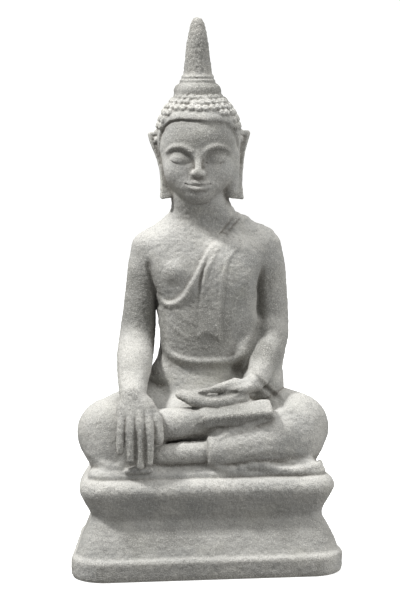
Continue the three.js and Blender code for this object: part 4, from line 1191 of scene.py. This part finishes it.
def steel_material():
    m = bpy.data.materials.new("drawn_steel")
    m.use_nodes = True
    nt = m.node_tree
    b = nt.nodes["Principled BSDF"]
    tc = nt.nodes.new("ShaderNodeTexCoord")
    mp = nt.nodes.new("ShaderNodeMapping")
    mp.inputs["Scale"].default_value = (1.0, 1.0, 0.06)
    n = nt.nodes.new("ShaderNodeTexNoise")
    n.inputs["Scale"].default_value = 900.0
    n.inputs["Detail"].default_value = 4.0
    r = nt.nodes.new("ShaderNodeMapRange")
    r.inputs["To Min"].default_value = 0.26
    r.inputs["To Max"].default_value = 0.48
    c = nt.nodes.new("ShaderNodeValToRGB")
    c.color_ramp.elements[0].color = (0.44, 0.45, 0.46, 1)
    c.color_ramp.elements[1].color = (0.66, 0.66, 0.67, 1)
    bp = nt.nodes.new("ShaderNodeBump")
    bp.inputs["Strength"].default_value = 0.15
    bp.inputs["Distance"].default_value = 0.0002
    nt.links.new(tc.outputs["Object"], mp.inputs["Vector"])
    nt.links.new(mp.outputs["Vector"], n.inputs["Vector"])
    nt.links.new(n.outputs["Fac"], r.inputs["Value"])
    nt.links.new(r.outputs["Result"], b.inputs["Roughness"])
    nt.links.new(n.outputs["Fac"], c.inputs["Fac"])
    nt.links.new(c.outputs["Color"], b.inputs["Base Color"])
    nt.links.new(n.outputs["Fac"], bp.inputs["Height"])
    nt.links.new(bp.outputs["Normal"], b.inputs["Normal"])
    b.inputs["Metallic"].default_value = 1.0
    return m


mortar, steel = mortar_material(), steel_material()
KEPT = {"waist_mortar_bed": mortar, "seat_mortar_bed": mortar}
for n in ("spine_rod", "neck_dowel", "finial_pin", "right_shoulder_pin", "left_shoulder_pin", "seat_dowel_right",
          "seat_dowel_left", "pedestal_dowel_right", "pedestal_dowel_left"):
    KEPT[n] = steel
for n, m in KEPT.items():
    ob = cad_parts[n]
    for sl in ob.material_slots:
        sl.material = m
    if not ob.material_slots:
        ob.data.materials.append(m)

# ================================================================== stage, light and camera
# a floor that curves up into a round wall far behind, the same from every side
profile = [(0.0, -0.0002), (1.0, -0.0002), (5.0, -0.0002)]
profile += [(5.0 + 2.5 * math.sin(t), 2.5 - 2.5 * math.cos(t) - 0.0002) for t in np.linspace(0.08, math.pi / 2, 16)]
profile += [(7.5, 9.0)]
TURNS = 96
verts, faces = [(0.0, 0.0, -0.0002)], []
for r, z in profile[1:]:
    verts += [(r * math.cos(2 * math.pi * i / TURNS), r * math.sin(2 * math.pi * i / TURNS), z) for i in range(TURNS)]
for i in range(TURNS):
    faces.append((0, 1 + i, 1 + (i + 1) % TURNS))
for ring in range(len(profile) - 2):
    for i in range(TURNS):
        p0, p1 = 1 + ring * TURNS + i, 1 + ring * TURNS + (i + 1) % TURNS
        faces.append((p0, p0 + TURNS, p1 + TURNS, p1))
bowl = bpy.data.meshes.new("studio_floor")
bowl.from_pydata(verts, [], faces)
bowl.polygons.foreach_set("use_smooth", np.ones(len(bowl.polygons), bool))
floor = bpy.data.objects.new("studio_floor", bowl)
bpy.context.scene.collection.objects.link(floor)
fm = bpy.data.materials.new("studio_floor")
fm.use_nodes = True
fb = fm.node_tree.nodes["Principled BSDF"]
fb.inputs["Base Color"].default_value = (0.93, 0.93, 0.92, 1)
fb.inputs["Roughness"].default_value = 0.9
fb.inputs["Specular IOR Level"].default_value = 0.1
fb.inputs["Emission Color"].default_value = (1.0, 1.0, 1.0, 1)
fb.inputs["Emission Strength"].default_value = 0.68
fm.cycles.emission_sampling = "NONE"
floor.data.materials.append(fm)
floor.visible_diffuse = False        # the floor throws no light back up at the statue
floor.visible_glossy = False
floor.visible_shadow = False
floor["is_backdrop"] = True

sc = bpy.context.scene
world = bpy.data.worlds.new("studio")
sc.world = world
world.use_nodes = True
bg = world.node_tree.nodes["Background"]
bg.inputs["Color"].default_value = (1.0, 1.0, 1.0, 1)
bg.inputs["Strength"].default_value = 0.357


def area(name, loc, target, size, power, color=(1, 1, 1)):
    d = bpy.data.lights.new(name, "AREA")
    d.shape = "SQUARE"
    d.size = size
    d.energy = power
    d.color = color
    o = bpy.data.objects.new(name, d)
    sc.collection.objects.link(o)
    v = np.array(target, float) - np.array(loc, float)
    o.location = loc
    o.rotation_euler = Vector(v).to_track_quat("-Z", "Y").to_euler()
    return o


area("key", (-1.62, -0.42, 2.60), (0, 0, 0.30), 0.30, 92.16)
area("sky", (0.0, -0.25, 2.9), (0, 0, 0.0), 2.0, 30.72)
area("side", (2.0, -0.9, 1.1), (0, 0, 0.25), 1.4, 25.92)

AZ, EL = math.radians(-7.0), math.radians(6.5)
target = np.array([-0.0006, 0.0, 0.291])
dist = 2.040
back_v = np.array([math.sin(AZ) * math.cos(EL), -math.cos(AZ) * math.cos(EL), math.sin(EL)])
cam_d = bpy.data.cameras.new("camera")
cam = bpy.data.objects.new("camera", cam_d)
sc.collection.objects.link(cam)
cam.location = Vector(target + back_v * dist)
cam.rotation_euler = Vector(-back_v).to_track_quat("-Z", "Y").to_euler()
cam_d.sensor_fit = "AUTO"
cam_d.sensor_width = 36.0
cam_d.lens = 36.0 * (2040 / 1.104) / 600.0
cam_d.clip_start, cam_d.clip_end = 0.05, 30
sc.camera = cam
sc.view_settings.view_transform = "Standard"
sc.view_settings.look = "None"
sc.view_settings.exposure = 0.0

now = [list(map(float, corner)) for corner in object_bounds()]
say("boxes", CAD_BOX, now)
